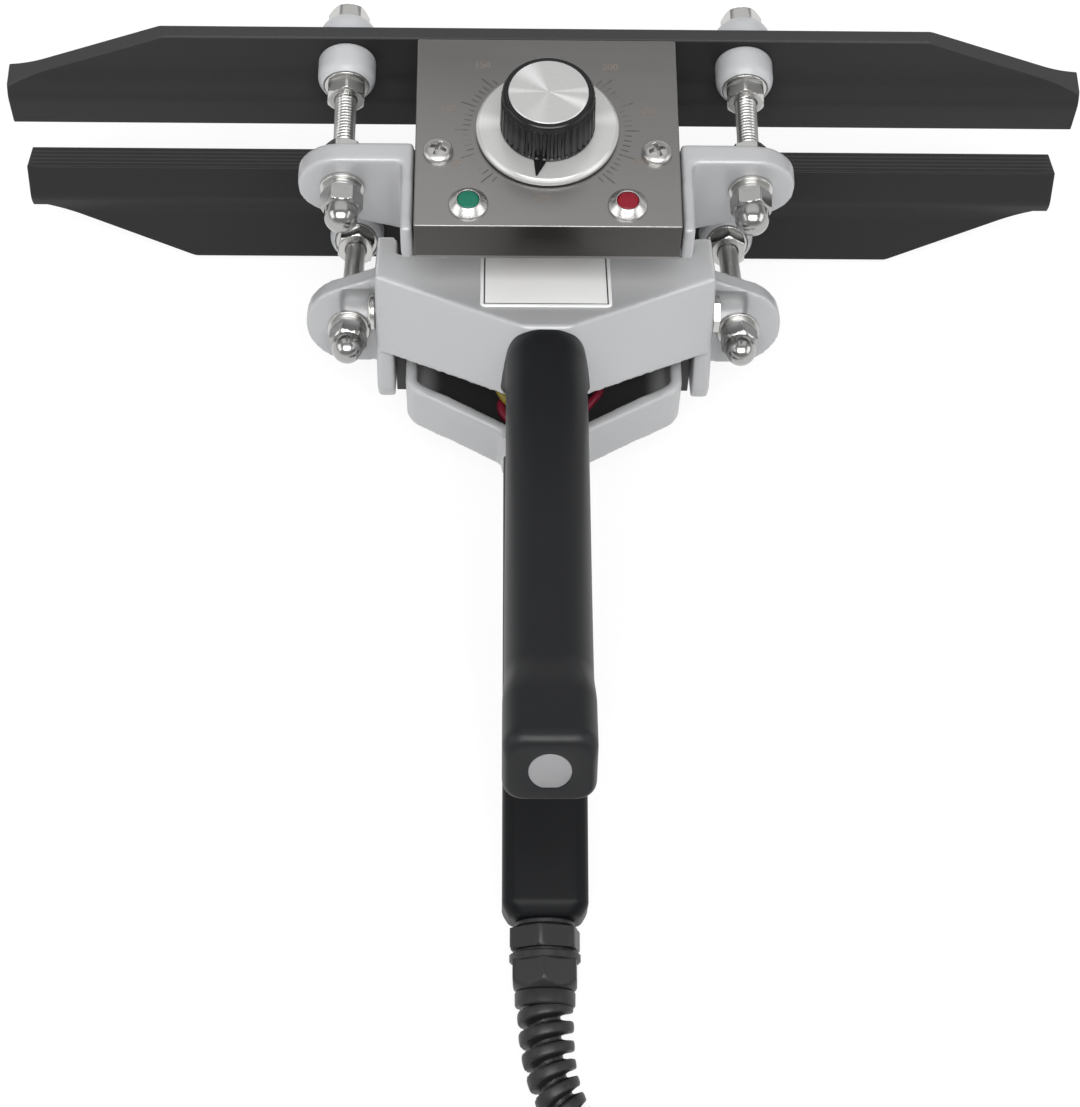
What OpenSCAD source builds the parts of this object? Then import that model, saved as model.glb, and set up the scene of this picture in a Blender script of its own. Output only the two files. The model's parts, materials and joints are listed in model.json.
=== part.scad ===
// Hand-held crimp heat sealer: two heated jaws on a scissor pair of cast arms,
// with a thermostat box on the fixed arm, two handles and a mains lead.

/* [Jaws] */
// Length of both jaws
jaw_l = 300; // [280:10:340]
// Height of a jaw from its sealing face to the edge of its fin
jaw_h = 32.4; // [30:0.1:36]
// Width of the sealing bar
bar_w = 11.6; // [11:0.1:13]
// Height of the sealing bar's straight sides
bar_h = 11.8; // [11:0.1:13]
// Thickness of the fin above the sealing bar
fin_t = 4.2; // [3.6:0.1:5]
// Height at which the fin is trimmed flat at the jaw's ends
trim_h = 14; // [13.5:0.1:15]
// Length of that flat at each end of the upper jaw
upper_trim_l = 0.5; // [0.2:0.1:4]
// Length of that flat at each end of the lower jaw
lower_trim_l = 4.2; // [3:0.1:8]
// Length of the upper fin's straight edge
upper_run = 210; // [190:1:230]
// Length of the lower fin's straight edge
lower_run = 206; // [190:1:230]
// Number of crimping ridges on the upper sealing face
ridge_n = 5; // [3:1:7]
// Height of a crimping ridge
ridge_h = 0.5; // [0.3:0.1:0.9]
// Gap left between the closed sealing faces for the film
film_gap = 0.4; // [0.3:0.1:1]
// Diameter of the heater rod inside each jaw
heater_d = 5.6; // [5:0.1:6]

/* [Scissor pivot] */
// Angle between the arms when the jaws stand open
open_a = 22; // [18:1:23]
// Distance from the pivot to the middle of the jaws
jaw_y = 59.7; // [59.2:0.1:62]
// Height of the closed seam above the pivot
seam_z = 15; // [14.5:0.1:15.5]
// Diameter of the pivot bolt's shank
pivot_d = 6; // [5:0.5:7]
// Diameter of the pivot bolt's head
pivot_head_d = 10; // [9:0.5:12]
// Height of the pivot bolt's head
pivot_head_h = 2.3; // [2:0.1:2.4]
// Length of the label plate
label_l = 26; // [20:0.1:26]
// Width of the label plate
label_w = 35.4; // [30:0.1:36]
// Tilt of the fixed arm when the sealer lies on a table
rest_tilt = 3.25; // [3.2:0.01:3.3]

/* [Castings] */
// Outer width over the fixed arm's side plates
base_w = 77.2; // [76.8:0.1:78]
// Thickness of the fixed arm's side plates
base_t = 3.3; // [3:0.1:3.5]
// Thickness of the nylon guide plates between the arms
guide_t = 2.8; // [2.6:0.1:3]
// Play beside each guide plate
guide_gap = 0.15; // [0.1:0.05:0.3]
// Thickness of the moving arm's side plates
arm_t = 5; // [4.5:0.1:6]
// Thickness of the moving arm's top plate
cap_t = 4.6; // [4:0.1:5]
// Height of the moving arm's top face above the pivot with the jaws closed
cap_z = 16.4; // [16.2:0.1:16.8]
// Height of the moving arm's rear wall
cap_h = 24.4; // [23:0.1:24.6]
// Height of the trough's rim below the pivot
rim_z = 10; // [9.8:0.1:10.5]
// Depth of the trough
trough_h = 17.5; // [17:0.1:19]
// Thickness of the trough's walls and floor
trough_t = 3.5; // [3:0.1:3.8]
// Thickness of the four ears
ear_t = 6.4; // [6:0.1:7]
// Radius of the rounded end of an ear
ear_r = 12; // [11:0.1:12.5]

/* [Jaw bolts] */
// Distance of a jaw bolt from the moving arm's outer face
bolt_out = 8.1; // [7.6:0.1:9]
// Height of a bolt above its own sealing face
bolt_h = 22.6; // [22.6:0.1:22.8]
// Nominal diameter of a jaw bolt
bolt_d = 6; // [5.6:0.1:6.2]
// Width across the flats of the hex nuts and heads
hex_af = 10; // [9.6:0.1:11]
// Height of a hex nut
nut_h = 4.8; // [4:0.1:5]
// Diameter of the insulating collars
collar_d = 15.8; // [15:0.1:15.8]
// Length of an insulating collar
collar_l = 6.2; // [5.5:0.1:6.5]
// Length of the upper jaw's front collars
upper_front_l = 7.5; // [6:0.1:8]
// Height of a jaw bolt's head
head_h = 5; // [4:0.1:5.4]
// Diameter of the plain washers
washer_d = 12; // [11.6:0.1:13]
// Thickness of the plain washers
washer_t = 1.2; // [1:0.1:1.4]
// Thickness of the spring washers
lock_t = 1.5; // [1.2:0.1:1.8]
// Height of an acorn nut
acorn_h = 12; // [11:0.1:13]

/* [Control box] */
// Play between the control box and the side plates
box_gap = 0.3; // [0.2:0.1:0.6]
// Length of the control box
box_l = 63; // [62:0.1:63.4]
// Height of the control box's skirt
box_h = 12.8; // [12.6:0.1:13]
// Height of the control box's face above the pivot
box_z = 50.6; // [50.4:0.1:50.8]
// Thickness of the control box's sheet
sheet_t = 1; // [0.8:0.1:1.2]
// Distance between the two cover screws
screw_gap = 57.8; // [57:0.1:58.5]
// Distance between the two pilot lamps
lamp_gap = 41.6; // [40:0.1:43]
// Diameter of a pilot lamp's bezel
bezel_d = 10.4; // [10:0.1:11]
// Diameter of a pilot lamp's lens
lens_d = 5.8; // [5.4:0.1:6.2]

/* [Temperature knob] */
// Diameter of the fluted knob
knob_d = 25.2; // [24:0.1:26]
// Height of the knob's top above the control box's face
knob_h = 15.6; // [15:0.1:16.5]
// Diameter of the knob's metal skirt
skirt_d = 38; // [36:0.1:39]
// Thickness of the skirt
skirt_t = 1.8; // [1.6:0.1:2]
// Gap under the skirt
skirt_gap = 0.6; // [0.4:0.1:0.8]
// Number of flutes around the knob
flute_n = 40; // [36:1:44]
// Radius of a flute
flute_r = 0.7; // [0.6:0.05:0.75]
// Diameter of the thermostat's shaft
shaft_d = 6; // [5.8:0.1:6.2]

/* [Handles] */
// Width of the upper grip
upper_grip_w = 21; // [20:0.1:22]
// Height of the upper grip
upper_grip_h = 19.5; // [19:0.1:20]
// Length of the upper grip from the arm's point
upper_grip_l = 152.5; // [140:0.5:160]
// Slope of the upper grip against the closed arm's top face
upper_slope = 3.5; // [3.2:0.1:3.8]
// Width of the lower grip
lower_grip_w = 22.5; // [22:0.1:23]
// Height of the lower grip
lower_grip_h = 20; // [19:0.1:20.4]
// Length of the lower grip from the trough's point
lower_grip_l = 133; // [132.5:0.1:133.3]
// Slope of the lower grip against the fixed arm
lower_slope = 10; // [9.9:0.1:10]
// Width of the cast stem inside each grip
stem_w = 13.6; // [13:0.1:14]
// Height of the cast stem inside each grip
stem_h = 12; // [11:0.1:12.5]
// Play between a grip and its stem
stem_gap = 0.1; // [0.05:0.05:0.2]

/* [Cord] */
// Diameter of the mains cord
cord_d = 6.6; // [6.5:0.1:6.6]
// Width across the flats of the cord gland
gland_af = 16; // [15.6:0.1:16.4]
// Diameter of the spiral bend guard
guard_d = 14.6; // [14.4:0.1:14.6]

/* [Hidden] */

$fn = 64;
play = 0.05;      // play of every nut, washer and sleeve on its bolt
hole_play = 0.3;  // play of a bolt in a cast or sheet hole
eps = 0.01;

// Places along Y are measured from the pivot towards the jaws, in the fixed arm's own frame.
upper_ear_y = 14.6;   // rear face of the upper ears
lower_ear_y = 4;      // rear face of the lower ears
box_y1 = jaw_y - 5;     // front face of the control box, behind the upper jaw
box_y0 = box_y1 - box_l;
knob_y = (box_y0 + box_y1) / 2 + 0.2;   // axis of the knob
screw_y = 15.8;       // line of the cover screws
lamp_y = box_y0 + 6.9;  // line of the pilot lamps
wall_z = box_z - 2;   // top edge of the fixed arm's side plates
ear_c = wall_z - seam_z - ear_r;      // height of an ear's centre above the seam
arm_in = base_w / 2 + guide_t + 2 * guide_gap;   // inner face of the moving side plates
arm_out = arm_in + arm_t;
bolt_gap = 2 * (arm_out + bolt_out);
v_y = -7.5;           // corners of the moving arm's V-shaped rear
v_tip = [6, -32];     // corner of the short flat at the tip of the V
v_wall = 4;           // thickness of the V-shaped wall
cap_front = 4.2;      // front edge of the moving arm's top plate
trough_corner = [base_w / 2 - 2, -19.5];
trough_mid = [11.8, -33.2];
trough_nose_y = -36;
lower_axis_y = -33;   // start of the lower handle's axis
lower_axis_z = -rim_z - trough_h / 2;
upper_axis_z = cap_z - 10.6;
upper_stem_y = -30;   // start of the upper stem

// Height of the pivot above the table, on which the lower rear collars stand
foot_y = jaw_y + fin_t / 2 + collar_l;
foot_z = seam_z - film_gap - bolt_h - collar_d / 2;
foot_a = open_a + rest_tilt;
pivot_z = foot_y * sin(foot_a) - foot_z * cos(foot_a);
origin_y = 56.14;       // pivot's place along Y in the part's frame

module base_frame() translate([0, origin_y, pivot_z]) rotate([-rest_tilt, 0, 0]) children();
module arm_frame() base_frame() rotate([-open_a, 0, 0]) children();
module mirror_pair() { children(); mirror([1, 0, 0]) children(); }
// Rod along Y from y0 to y1
module y_rod(d, y0, y1, fn = 64) translate([0, y0, 0]) rotate([-90, 0, 0]) cylinder(d = d, h = y1 - y0, $fn = fn);
// Rod along X, centred
module x_rod(d, l) rotate([0, 90, 0]) cylinder(d = d, h = l, center = true);
// Plate of a given YZ outline between x0 and x1
module yz_plate(x0, x1) translate([x0, 0, 0]) rotate([90, 0, 90]) linear_extrude(x1 - x0) children();
// Plate of a given XZ outline between y0 and y1
module xz_plate(y0, y1) translate([0, y1, 0]) rotate([90, 0, 0]) linear_extrude(y1 - y0) children();
module tube2d(d1, d0) difference() { circle(d = d1); circle(d = d0); }
module round_rect(w, h, r) {
    square([w - 2 * r, h], center = true);
    square([w, h - 2 * r], center = true);
    for (x = [-1, 1], y = [-1, 1]) translate([x * (w / 2 - r), y * (h / 2 - r)]) circle(r);
}

// ---------------------------------------------------------------- jaws
ridge_p = bar_w / (ridge_n + 0.5);
// Section of a jaw above its sealing face, with the ridges cut in
module jaw_section(shift) {
    shoulder = (bar_w - fin_t) / 2;
    slope = (trim_h - bar_h) / (bar_w / 2 - fin_t / 2 - 0.85);
    difference() {
        polygon([[-bar_w / 2, 0], [bar_w / 2, 0], [bar_w / 2, bar_h], [fin_t / 2, bar_h + shoulder * slope],
            [fin_t / 2, jaw_h], [-fin_t / 2, jaw_h], [-fin_t / 2, bar_h + shoulder * slope], [-bar_w / 2, bar_h]]);
        for (i = [0:ridge_n]) translate([-bar_w / 2 + (i + shift) * ridge_p, 0])
            polygon([[-ridge_p / 2 + 0.2, -eps], [ridge_p / 2 - 0.2, -eps], [0, ridge_h]]);
        translate([0, bar_h / 2]) circle(d = heater_d + 2 * play);
    }
}
// A jaw with its sealing face at z = 0 and its fin upwards
module jaw(run, trim_l, shift) difference() {
    intersection() {
        translate([-jaw_l / 2, 0, 0]) rotate([90, 0, 90]) linear_extrude(jaw_l) jaw_section(shift);
        xz_plate(-bar_w, bar_w) polygon([[-jaw_l / 2, -1], [jaw_l / 2, -1], [jaw_l / 2, trim_h],
            [jaw_l / 2 - trim_l, trim_h], [run / 2, jaw_h], [-run / 2, jaw_h],
            [-jaw_l / 2 + trim_l, trim_h], [-jaw_l / 2, trim_h]]);
    }
    for (s = [-1, 1]) translate([s * bolt_gap / 2, 0, bolt_h]) y_rod(bolt_d + 2 * hole_play, -bar_w, bar_w);
}
module upper_place() base_frame() translate([0, jaw_y, seam_z]) children();
module lower_place() arm_frame() translate([0, jaw_y, seam_z - film_gap]) mirror([0, 0, 1]) children();
heater_end = 12;      // depth of the heater's sealed end in its bore
module heater() translate([0, 0, bar_h / 2]) x_rod(heater_d, jaw_l - 2 * heater_end);
module upper_jaw() color("#3c3c3e") upper_place() jaw(upper_run, upper_trim_l, 0.5);
module lower_jaw() color("#3c3c3e") lower_place() jaw(lower_run, lower_trim_l, 0);
module upper_heater() color("#8a8780") upper_place() heater();
module lower_heater() color("#8a8780") lower_place() heater();

// ---------------------------------------------------------------- jaw bolts, in a frame whose z = 0 is the bolt
// Each stack runs from the fin back to the acorn nut behind the ear.
module stack(sgn) for (s = [-1, 1]) translate([s * bolt_gap / 2, 0, sgn * bolt_h]) children();
module hexagon(af) circle(d = af / cos(30), $fn = 6);
module hex_piece(af, y0, y1, bore) xz_plate(y0, y1) difference() { hexagon(af); circle(d = bore); }
module ring_piece(d, y0, y1, bore) xz_plate(y0, y1) tube2d(d, bore);
fin_y0 = jaw_y - fin_t / 2;
fin_y1 = jaw_y + fin_t / 2;
bore_d = bolt_d + 2 * play;
module bolts(ear_y, front_l) {
    head_y = fin_y1 + front_l;
    y_rod(bolt_d, ear_y - washer_t - lock_t - acorn_h * 0.6, head_y);
    xz_plate(head_y, head_y + head_h) hexagon(hex_af);
}
module collars(front_l) {
    ring_piece(collar_d, fin_y0 - collar_l, fin_y0, bore_d);
    ring_piece(collar_d, fin_y1, fin_y1 + front_l, bore_d);
}
module hex_nuts(ear_y) {
    jaw_nut = fin_y0 - collar_l - washer_t;
    hex_piece(hex_af, jaw_nut - nut_h, jaw_nut, bore_d);
    ear_nut = ear_y + ear_t + washer_t;
    hex_piece(hex_af, ear_nut, ear_nut + nut_h, bore_d);
}
module washers(ear_y) {
    ring_piece(washer_d, fin_y0 - collar_l - washer_t, fin_y0 - collar_l, bore_d);
    ring_piece(washer_d, ear_y + ear_t, ear_y + ear_t + washer_t, bore_d);
    ring_piece(washer_d, ear_y - washer_t, ear_y, bore_d);
}
module lock_washers(ear_y) difference() {
    y1 = ear_y - washer_t;
    ring_piece(hex_af, y1 - lock_t, y1, bore_d);
    translate([0, y1 - lock_t / 2, hex_af / 2]) rotate([0, 25, 0]) cube([0.6, 2 * lock_t, hex_af], center = true);
}
module acorn_nuts(ear_y) {
    y0 = ear_y - washer_t - lock_t;
    dome = hex_af * 0.46;
    neck = acorn_h - dome - 5.2;
    translate([0, y0, 0]) rotate([90, 0, 0]) difference() {
        union() {
            intersection() {
                linear_extrude(5.2 + 1) hexagon(hex_af);
                rotate_extrude() polygon([[0, 0], [hex_af / 2, 0], [hex_af * 0.577, 0.6],
                    [hex_af * 0.577, 4.6], [hex_af / 2, 5.2], [hex_af / 2 - 0.3, 6.2], [0, 6.2]]);
            }
            translate([0, 0, 5]) cylinder(r = dome, h = neck + 0.2);
            intersection() {
                translate([0, 0, 5.2 + neck]) sphere(dome);
                translate([0, 0, 5.2 + neck]) cylinder(r = hex_af, h = dome);
            }
        }
        translate([0, 0, -eps]) cylinder(d = bore_d, h = acorn_h * 0.6 + 0.6);
    }
}
module on_upper() base_frame() translate([0, 0, seam_z]) stack(1) children();
module on_lower() arm_frame() translate([0, 0, seam_z - film_gap]) stack(-1) children();
module upper_jaw_bolts() color("#b9bbbd") on_upper() bolts(upper_ear_y, upper_front_l);
module lower_jaw_bolts() color("#b9bbbd") on_lower() bolts(lower_ear_y, collar_l);
module upper_collars() color("#ececea") on_upper() collars(upper_front_l);
module lower_collars() color("#ececea") on_lower() collars(collar_l);
module upper_hex_nuts() color("#c4c6c8") on_upper() hex_nuts(upper_ear_y);
module lower_hex_nuts() color("#c4c6c8") on_lower() hex_nuts(lower_ear_y);
module upper_washers() color("#c9cbcd") on_upper() washers(upper_ear_y);
module lower_washers() color("#c9cbcd") on_lower() washers(lower_ear_y);
module upper_lock_washers() color("#aeb0b3") on_upper() lock_washers(upper_ear_y);
module lower_lock_washers() color("#aeb0b3") on_lower() lock_washers(lower_ear_y);
module upper_acorn_nuts() color("#cfd1d3") on_upper() acorn_nuts(upper_ear_y);
module lower_acorn_nuts() color("#cfd1d3") on_lower() acorn_nuts(lower_ear_y);

// ---------------------------------------------------------------- fixed arm
cross_y0 = upper_ear_y;
cross_y1 = upper_ear_y + ear_t;
tray_z = box_z - box_h;            // top of the tray's plate, under the cover's skirt
lug_d = 8;
screw_d = 4;
base_in = base_w / 2 - base_t;
box_w = 2 * (base_in - box_gap);
floor_z = -rim_z - trough_h;
stem_end = lower_grip_l - 1;
lower_root = 5.1;    // length of the cast collar in front of the lower grip
gland_bore = 12;
cord_bore = cord_d + 0.9;
// Outline of an ear in XZ, from the wall at x = wall_x out to its rounded end
module ear(wall_x, top) {
    a = 19.4;         // slope of the ear's lower edge
    c = [bolt_gap / 2, top - ear_r];
    p = c + ear_r * [sin(a), -cos(a)];
    translate(c) circle(ear_r);
    polygon([[wall_x, top], [c.x, top], [c.x + ear_r * 0.7, c.y], p,
        p - (p.x - wall_x) * [1, tan(a)]]);
}
module base_side() yz_plate(base_in, base_w / 2) difference() {
    polygon([[box_y0, wall_z], [cross_y1, wall_z], [cross_y1, floor_z], [-16, floor_z], [-16, -rim_z],
        [-7.6, -rim_z], [-6.4, -8.6], [-6.4, 3], [-2.5, 8.8], [8.6, 8.8], [10.4, 10.6], [10.4, 29.5], [8.4, 33.6],
        [4.4, 36], [box_y0, 36]]);
    circle(d = pivot_d + 2 * play);
}
module trough() translate([0, 0, floor_z]) difference() {
    slant = [trough_corner.x - trough_mid.x, trough_corner.y - trough_mid.y];
    in = trough_t / norm(slant) * [-slant.y, slant.x];
    linear_extrude(trough_h) polygon([[base_w / 2, cross_y1], [base_w / 2, trough_corner.y + 3], trough_corner,
        trough_mid, [trough_mid.x, trough_nose_y], [-trough_mid.x, trough_nose_y], [-trough_mid.x, trough_mid.y],
        [-trough_corner.x, trough_corner.y], [-base_w / 2, trough_corner.y + 3], [-base_w / 2, cross_y1]]);
    back = trough_mid + in;
    side = trough_corner.y + in.y + (base_in - trough_corner.x - in.x) * slant.y / slant.x;
    translate([0, 0, trough_t]) linear_extrude(trough_h) polygon([[base_in, cross_y1 - trough_t],
        [base_in, side], back, [-back.x, back.y], [-base_in, side], [-base_in, cross_y1 - trough_t]]);
}
// Frame of the lower handle: z runs rearwards along it, y upwards
module lower_axis() base_frame() translate([0, lower_axis_y, lower_axis_z]) rotate([90 + lower_slope, 0, 0])
    children();
module grip_section(w, h) round_rect(w, h, 5);
module base_arm() color("#b9babe") difference() {
    union() {
        base_frame() {
            mirror_pair() {
                base_side();
                xz_plate(cross_y0, cross_y1) ear(base_w / 2 - 1, wall_z);
                translate([screw_gap / 2, screw_y, tray_z - 2]) difference() {
                    cylinder(d = lug_d, h = box_z - sheet_t - tray_z + 2);
                    translate([0, 0, 1]) cylinder(d = screw_d + 2 * play, h = box_h + 2, $fn = 32);
                }
            }
            translate([-base_in - 1, cross_y0, tray_z - sheet_t - 8])
                cube([2 * base_in + 2, cross_y1 - cross_y0, 8]);
            trough();
            translate([0, spring_py, floor_z + trough_t - 1]) cylinder(d = spring_d - 4.6, h = 4);
            translate([-base_in - 1, cross_y1 - trough_t, floor_z]) cube([2 * base_in + 2, trough_t, -floor_z]);
        }
        lower_axis() {
            translate([-stem_w / 2, -stem_h / 2, 0]) cube([stem_w, stem_h, stem_end]);
                translate([0, 0, -2]) linear_extrude(lower_root + 2) grip_section(lower_grip_w - 1, trough_h + 0.5);
        }
    }
    base_frame() translate([-base_in, cross_y1 - trough_t - 30, floor_z + trough_t])
        cube([2 * base_in, 30, trough_h]);
    base_frame() stack_holes(seam_z + bolt_h);
    lower_axis() translate([0, 0, -12]) cylinder(d = cord_bore, h = stem_end + 13);
    lower_axis() translate([0, 0, stem_end - 12]) cylinder(d = gland_bore, h = 20);
}
module stack_holes(z) for (s = [-1, 1]) translate([s * bolt_gap / 2, 0, z]) y_rod(bolt_d + 2 * hole_play, -1, 40);
module lower_grip() color("#2d2e30") lower_axis() difference() {
    translate([0, 0, lower_root + 0.1]) linear_extrude(lower_grip_l - lower_root - 0.1)
        grip_section(lower_grip_w, lower_grip_h);
    linear_extrude(lower_grip_l + 1) square([stem_w + 2 * stem_gap, stem_h + 2 * stem_gap], center = true);
}

// ---------------------------------------------------------------- moving arm
spot_d = hex_af / cos(30) + 1.2;
// Frame of the upper handle: z runs rearwards along it, y upwards
module upper_axis() arm_frame() translate([0, upper_stem_y, upper_axis_z]) rotate([90 + upper_slope, 0, 0])
    children();
pad_t = 0.9;          // extra thickness of the side plates' upper front corners
module arm_side() {
    yz_plate(arm_in, arm_out) polygon([[v_y, cap_z], [13, cap_z], [16, cap_z - 3], [16, 8], [10, 1], [10, -16],
        [3.5, -25.6], [-4, -25.6], [v_y, -21]]);
    yz_plate(arm_in - pad_t, arm_in + eps) polygon([[cap_front - 1, cap_z], [12, cap_z], [12, 10.5],
        [cap_front - 1, 10.5]]);
}
module v_plan() polygon([[arm_out, cap_front], [arm_out, v_y], v_tip, [-v_tip.x, v_tip.y], [-arm_out, v_y],
    [-arm_out, cap_front]]);
module moving_arm() color("#c3c4c8") difference() {
    union() {
        arm_frame() {
            mirror_pair() {
                arm_side();
                xz_plate(lower_ear_y, lower_ear_y + ear_t) mirror([0, 1])
                    ear(arm_out - 1, ear_c - seam_z + film_gap + ear_r);
            }
            difference() {
                translate([0, 0, cap_z - cap_h]) linear_extrude(cap_h) v_plan();
                translate([0, 0, cap_z - cap_h - 1]) linear_extrude(cap_h - cap_t + 1) v_inside();
            }
        }
        upper_axis() {
            translate([-stem_w / 2, -stem_h / 2, 0]) cube([stem_w, stem_h, upper_grip_l - stem_back]);
            cylinder(d = end_hole_d - 0.2, h = upper_grip_l - 1);
        }
    }
    arm_frame() {
        stack_holes(seam_z - film_gap - bolt_h);
        x_rod(pivot_d + 2 * play, 2 * arm_out + 2);
        // Spot faces beside the ears for the pivot's head and nut
        mirror_pair() translate([arm_out + 5, 0, 0]) x_rod(spot_d, 10);
    }
}
// Space inside the moving arm's V-shaped wall, open towards the jaws
module v_inside() {
    run = [arm_out - v_tip.x, v_y - v_tip.y];
    in = v_wall / norm(run) * [-run.y, run.x];
    tip = v_tip + in;
    side = v_y + in.y + (arm_in - arm_out - in.x) * run.y / run.x;
    polygon([[arm_in, cap_front + 2], [arm_in, side], tip, [-tip.x, tip.y], [-arm_in, side],
        [-arm_in, cap_front + 2]]);
}
grip_root = -3;       // start of the upper grip along its axis, within the V's tip
flare_l = 9;          // length over which the upper grip widens towards its root
flare_a = 7;          // angle of the sides there
stem_back = 6;        // distance from the upper grip's end back to the flat stem's end
block_l = 26;         // length of the raised block at the upper grip's end
block_up = 1.4;       // its height over the rest of the grip
end_hole_d = 10.4;    // hole in the upper grip's end, which shows the stem's round end
module upper_grip() color("#2d2e30") difference() {
    upper_axis() difference() {
        union() {
            translate([0, 0, grip_root]) linear_extrude(upper_grip_l - grip_root)
                grip_section(upper_grip_w, upper_grip_h);
            for (s = [-1, 1]) translate([0, 0, flare_l]) rotate([0, s * flare_a, 0])
                translate([0, 0, grip_root - flare_l]) linear_extrude(flare_l - grip_root)
                    grip_section(upper_grip_w, upper_grip_h);
            translate([0, block_up / 2, upper_grip_l - block_l]) linear_extrude(block_l)
                grip_section(upper_grip_w, upper_grip_h + block_up);
        }
        translate([0, 0, grip_root - 1]) linear_extrude(upper_grip_l - stem_back + stem_gap - grip_root + 1)
            square([stem_w + 2 * stem_gap, stem_h + 2 * stem_gap], center = true);
        cylinder(d = end_hole_d, h = upper_grip_l + 1);
    }
    // The V's tip, with a little play behind it
    arm_frame() translate([0, -0.12, cap_z - cap_h - 6]) linear_extrude(cap_h + 12) v_plan();
}
module label_plate() color("#e8e8e6") arm_frame()
    translate([0, cap_front - 0.9 - label_l / 2, cap_z]) linear_extrude(0.5) round_rect(label_w, label_l, 1.5);

// ---------------------------------------------------------------- pivot
thin_nut_h = 2;
module pivot_bolt() color("#c2c4c6") base_frame() {
    head_x = arm_out + guide_gap;
    translate([-head_x - pivot_head_h, 0, 0]) rotate([0, 90, 0]) {
        cylinder(d1 = pivot_head_d - 1.6, d2 = pivot_head_d, h = 0.8);
        translate([0, 0, 0.8]) cylinder(d = pivot_head_d, h = pivot_head_h - 0.8);
        cylinder(d = pivot_d, h = 2 * head_x + pivot_head_h + thin_nut_h + 0.1);
    }
}
module pivot_nut() color("#c4c6c8") base_frame() translate([arm_out + guide_gap, 0, 0]) rotate([0, 90, 0])
    linear_extrude(thin_nut_h) difference() {
        hexagon(hex_af);
        circle(d = pivot_d + 2 * play);
    }
guide_low = -29.4;    // lower edge of the guide plates
guide_r = 5.5;        // radius of their upper end
module guide_plates() color("#1d1d1f") base_frame() mirror_pair()
    yz_plate(base_w / 2 + guide_gap, base_w / 2 + guide_gap + guide_t) difference() {
        union() {
            circle(guide_r);
            polygon([[-guide_r, guide_low], [-guide_r, 0], [0, guide_r], [8, guide_r], [8, guide_low + 4],
                [5, guide_low]]);
        }
        circle(d = pivot_d + 2 * play);
    }

// ---------------------------------------------------------------- return spring, upright on the table
spring_py = -11;      // spring's place along Y, in the fixed arm's frame
spring_d = 12;
spring_wire = 1.6;
spring_turns = 7;
spring_foot = [0, spring_py, floor_z + trough_t];
function turned(p, a) = [p.x, p.y * cos(a) + p.z * sin(a), -p.y * sin(a) + p.z * cos(a)];
function in_world(p) = turned(p, rest_tilt) + [0, origin_y, pivot_z];
spring_low = in_world(spring_foot);
// Height of the raised cap's underside over the spring's front edge
spring_front = spring_low.y - origin_y + spring_d / 2;
spring_top = pivot_z + (cap_z - cap_t) / cos(foot_a) - spring_front * tan(foot_a);
spring_z0 = spring_low.z + spring_d / 2 * tan(rest_tilt) + 0.1;
spring_l = spring_top - spring_z0 - 0.2;
// Height along the spring after u turns: nearly flat over the first and the last turn
spring_table = [[0, 0], [1, 0.03], [spring_turns - 1, 0.97], [spring_turns, 1]];
module return_spring() color("#9fa2a5") {
    r = (spring_d - spring_wire) / 2;
    rise = spring_l - spring_wire;
    z0 = spring_z0 + spring_wire / 2;
    sweep([for (i = [0:16 * spring_turns]) let (a = 22.5 * i)
        [spring_low.x + r * cos(a), spring_low.y + r * sin(a), z0 + rise * lookup(i / 16, spring_table)]],
        spring_wire / 2, 6, [0, 0, 1]);
}

// ---------------------------------------------------------------- swept round wires and cords
function unit(v) = v / norm(v);
function along(p, i) = unit(p[min(i + 1, len(p) - 1)] - p[max(i - 1, 0)]);
function ring(p, i, r, n, ref) = let (t = along(p, i), a = unit(cross(t, ref)), b = cross(a, t))
    [for (k = [0:n - 1]) p[i] + r * (cos(360 * k / n) * a + sin(360 * k / n) * b)];
function at(r, i) = is_list(r) ? r[i] : r;
// Solid of n sides and radius r along the points p; ref is a direction that p never follows
module sweep(p, r, n, ref) {
    m = len(p);
    points = [for (i = [0:m - 1]) each ring(p, i, at(r, i), n, ref)];
    polyhedron(points, concat([[for (k = [0:n - 1]) k]],
        [for (i = [0:m - 2], k = [0:n - 1]) each let (j = (k + 1) % n, a = i * n, b = a + n)
            [[a + j, a + k, b + k], [a + j, b + k, b + j]]],
        [[for (k = [0:n - 1]) m * n - 1 - k]]));
}
// The same with a bore of radius r0
module sweep_tube(p, r, r0, n, ref) {
    m = len(p);
    outer = [for (i = [0:m - 1]) each ring(p, i, at(r, i), n, ref)];
    inner = [for (i = [0:m - 1]) each ring(p, i, r0, n, ref)];
    o = m * n;
    last = (m - 1) * n;
    polyhedron(concat(outer, inner), concat(
        [for (k = [0:n - 1]) each let (j = (k + 1) % n) [[k, j, o + j], [k, o + j, o + k]]],
        [for (i = [0:m - 2], k = [0:n - 1]) each let (j = (k + 1) % n, a = i * n, b = a + n)
            [[a + j, a + k, b + k], [a + j, b + k, b + j], [o + a + k, o + a + j, o + b + j],
                [o + a + k, o + b + j, o + b + k]]],
        [for (k = [0:n - 1]) each let (j = (k + 1) % n)
            [[last + j, last + k, o + last + k], [last + j, o + last + k, o + last + j]]]));
}
function blend(a, b, c, d, u) = 0.5 * (2 * b + (c - a) * u + (2 * a - 5 * b + 4 * c - d) * u * u
    + (3 * b - a - 3 * c + d) * u * u * u);
// Smooth curve through the points p with k steps between two of them
function smooth(p, k) = let (m = len(p) - 1) concat([for (i = [0:m - 1], j = [0:k - 1])
    blend(p[max(i - 1, 0)], p[i], p[i + 1], p[min(i + 2, m)], j / k)], [p[m]]);

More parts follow.
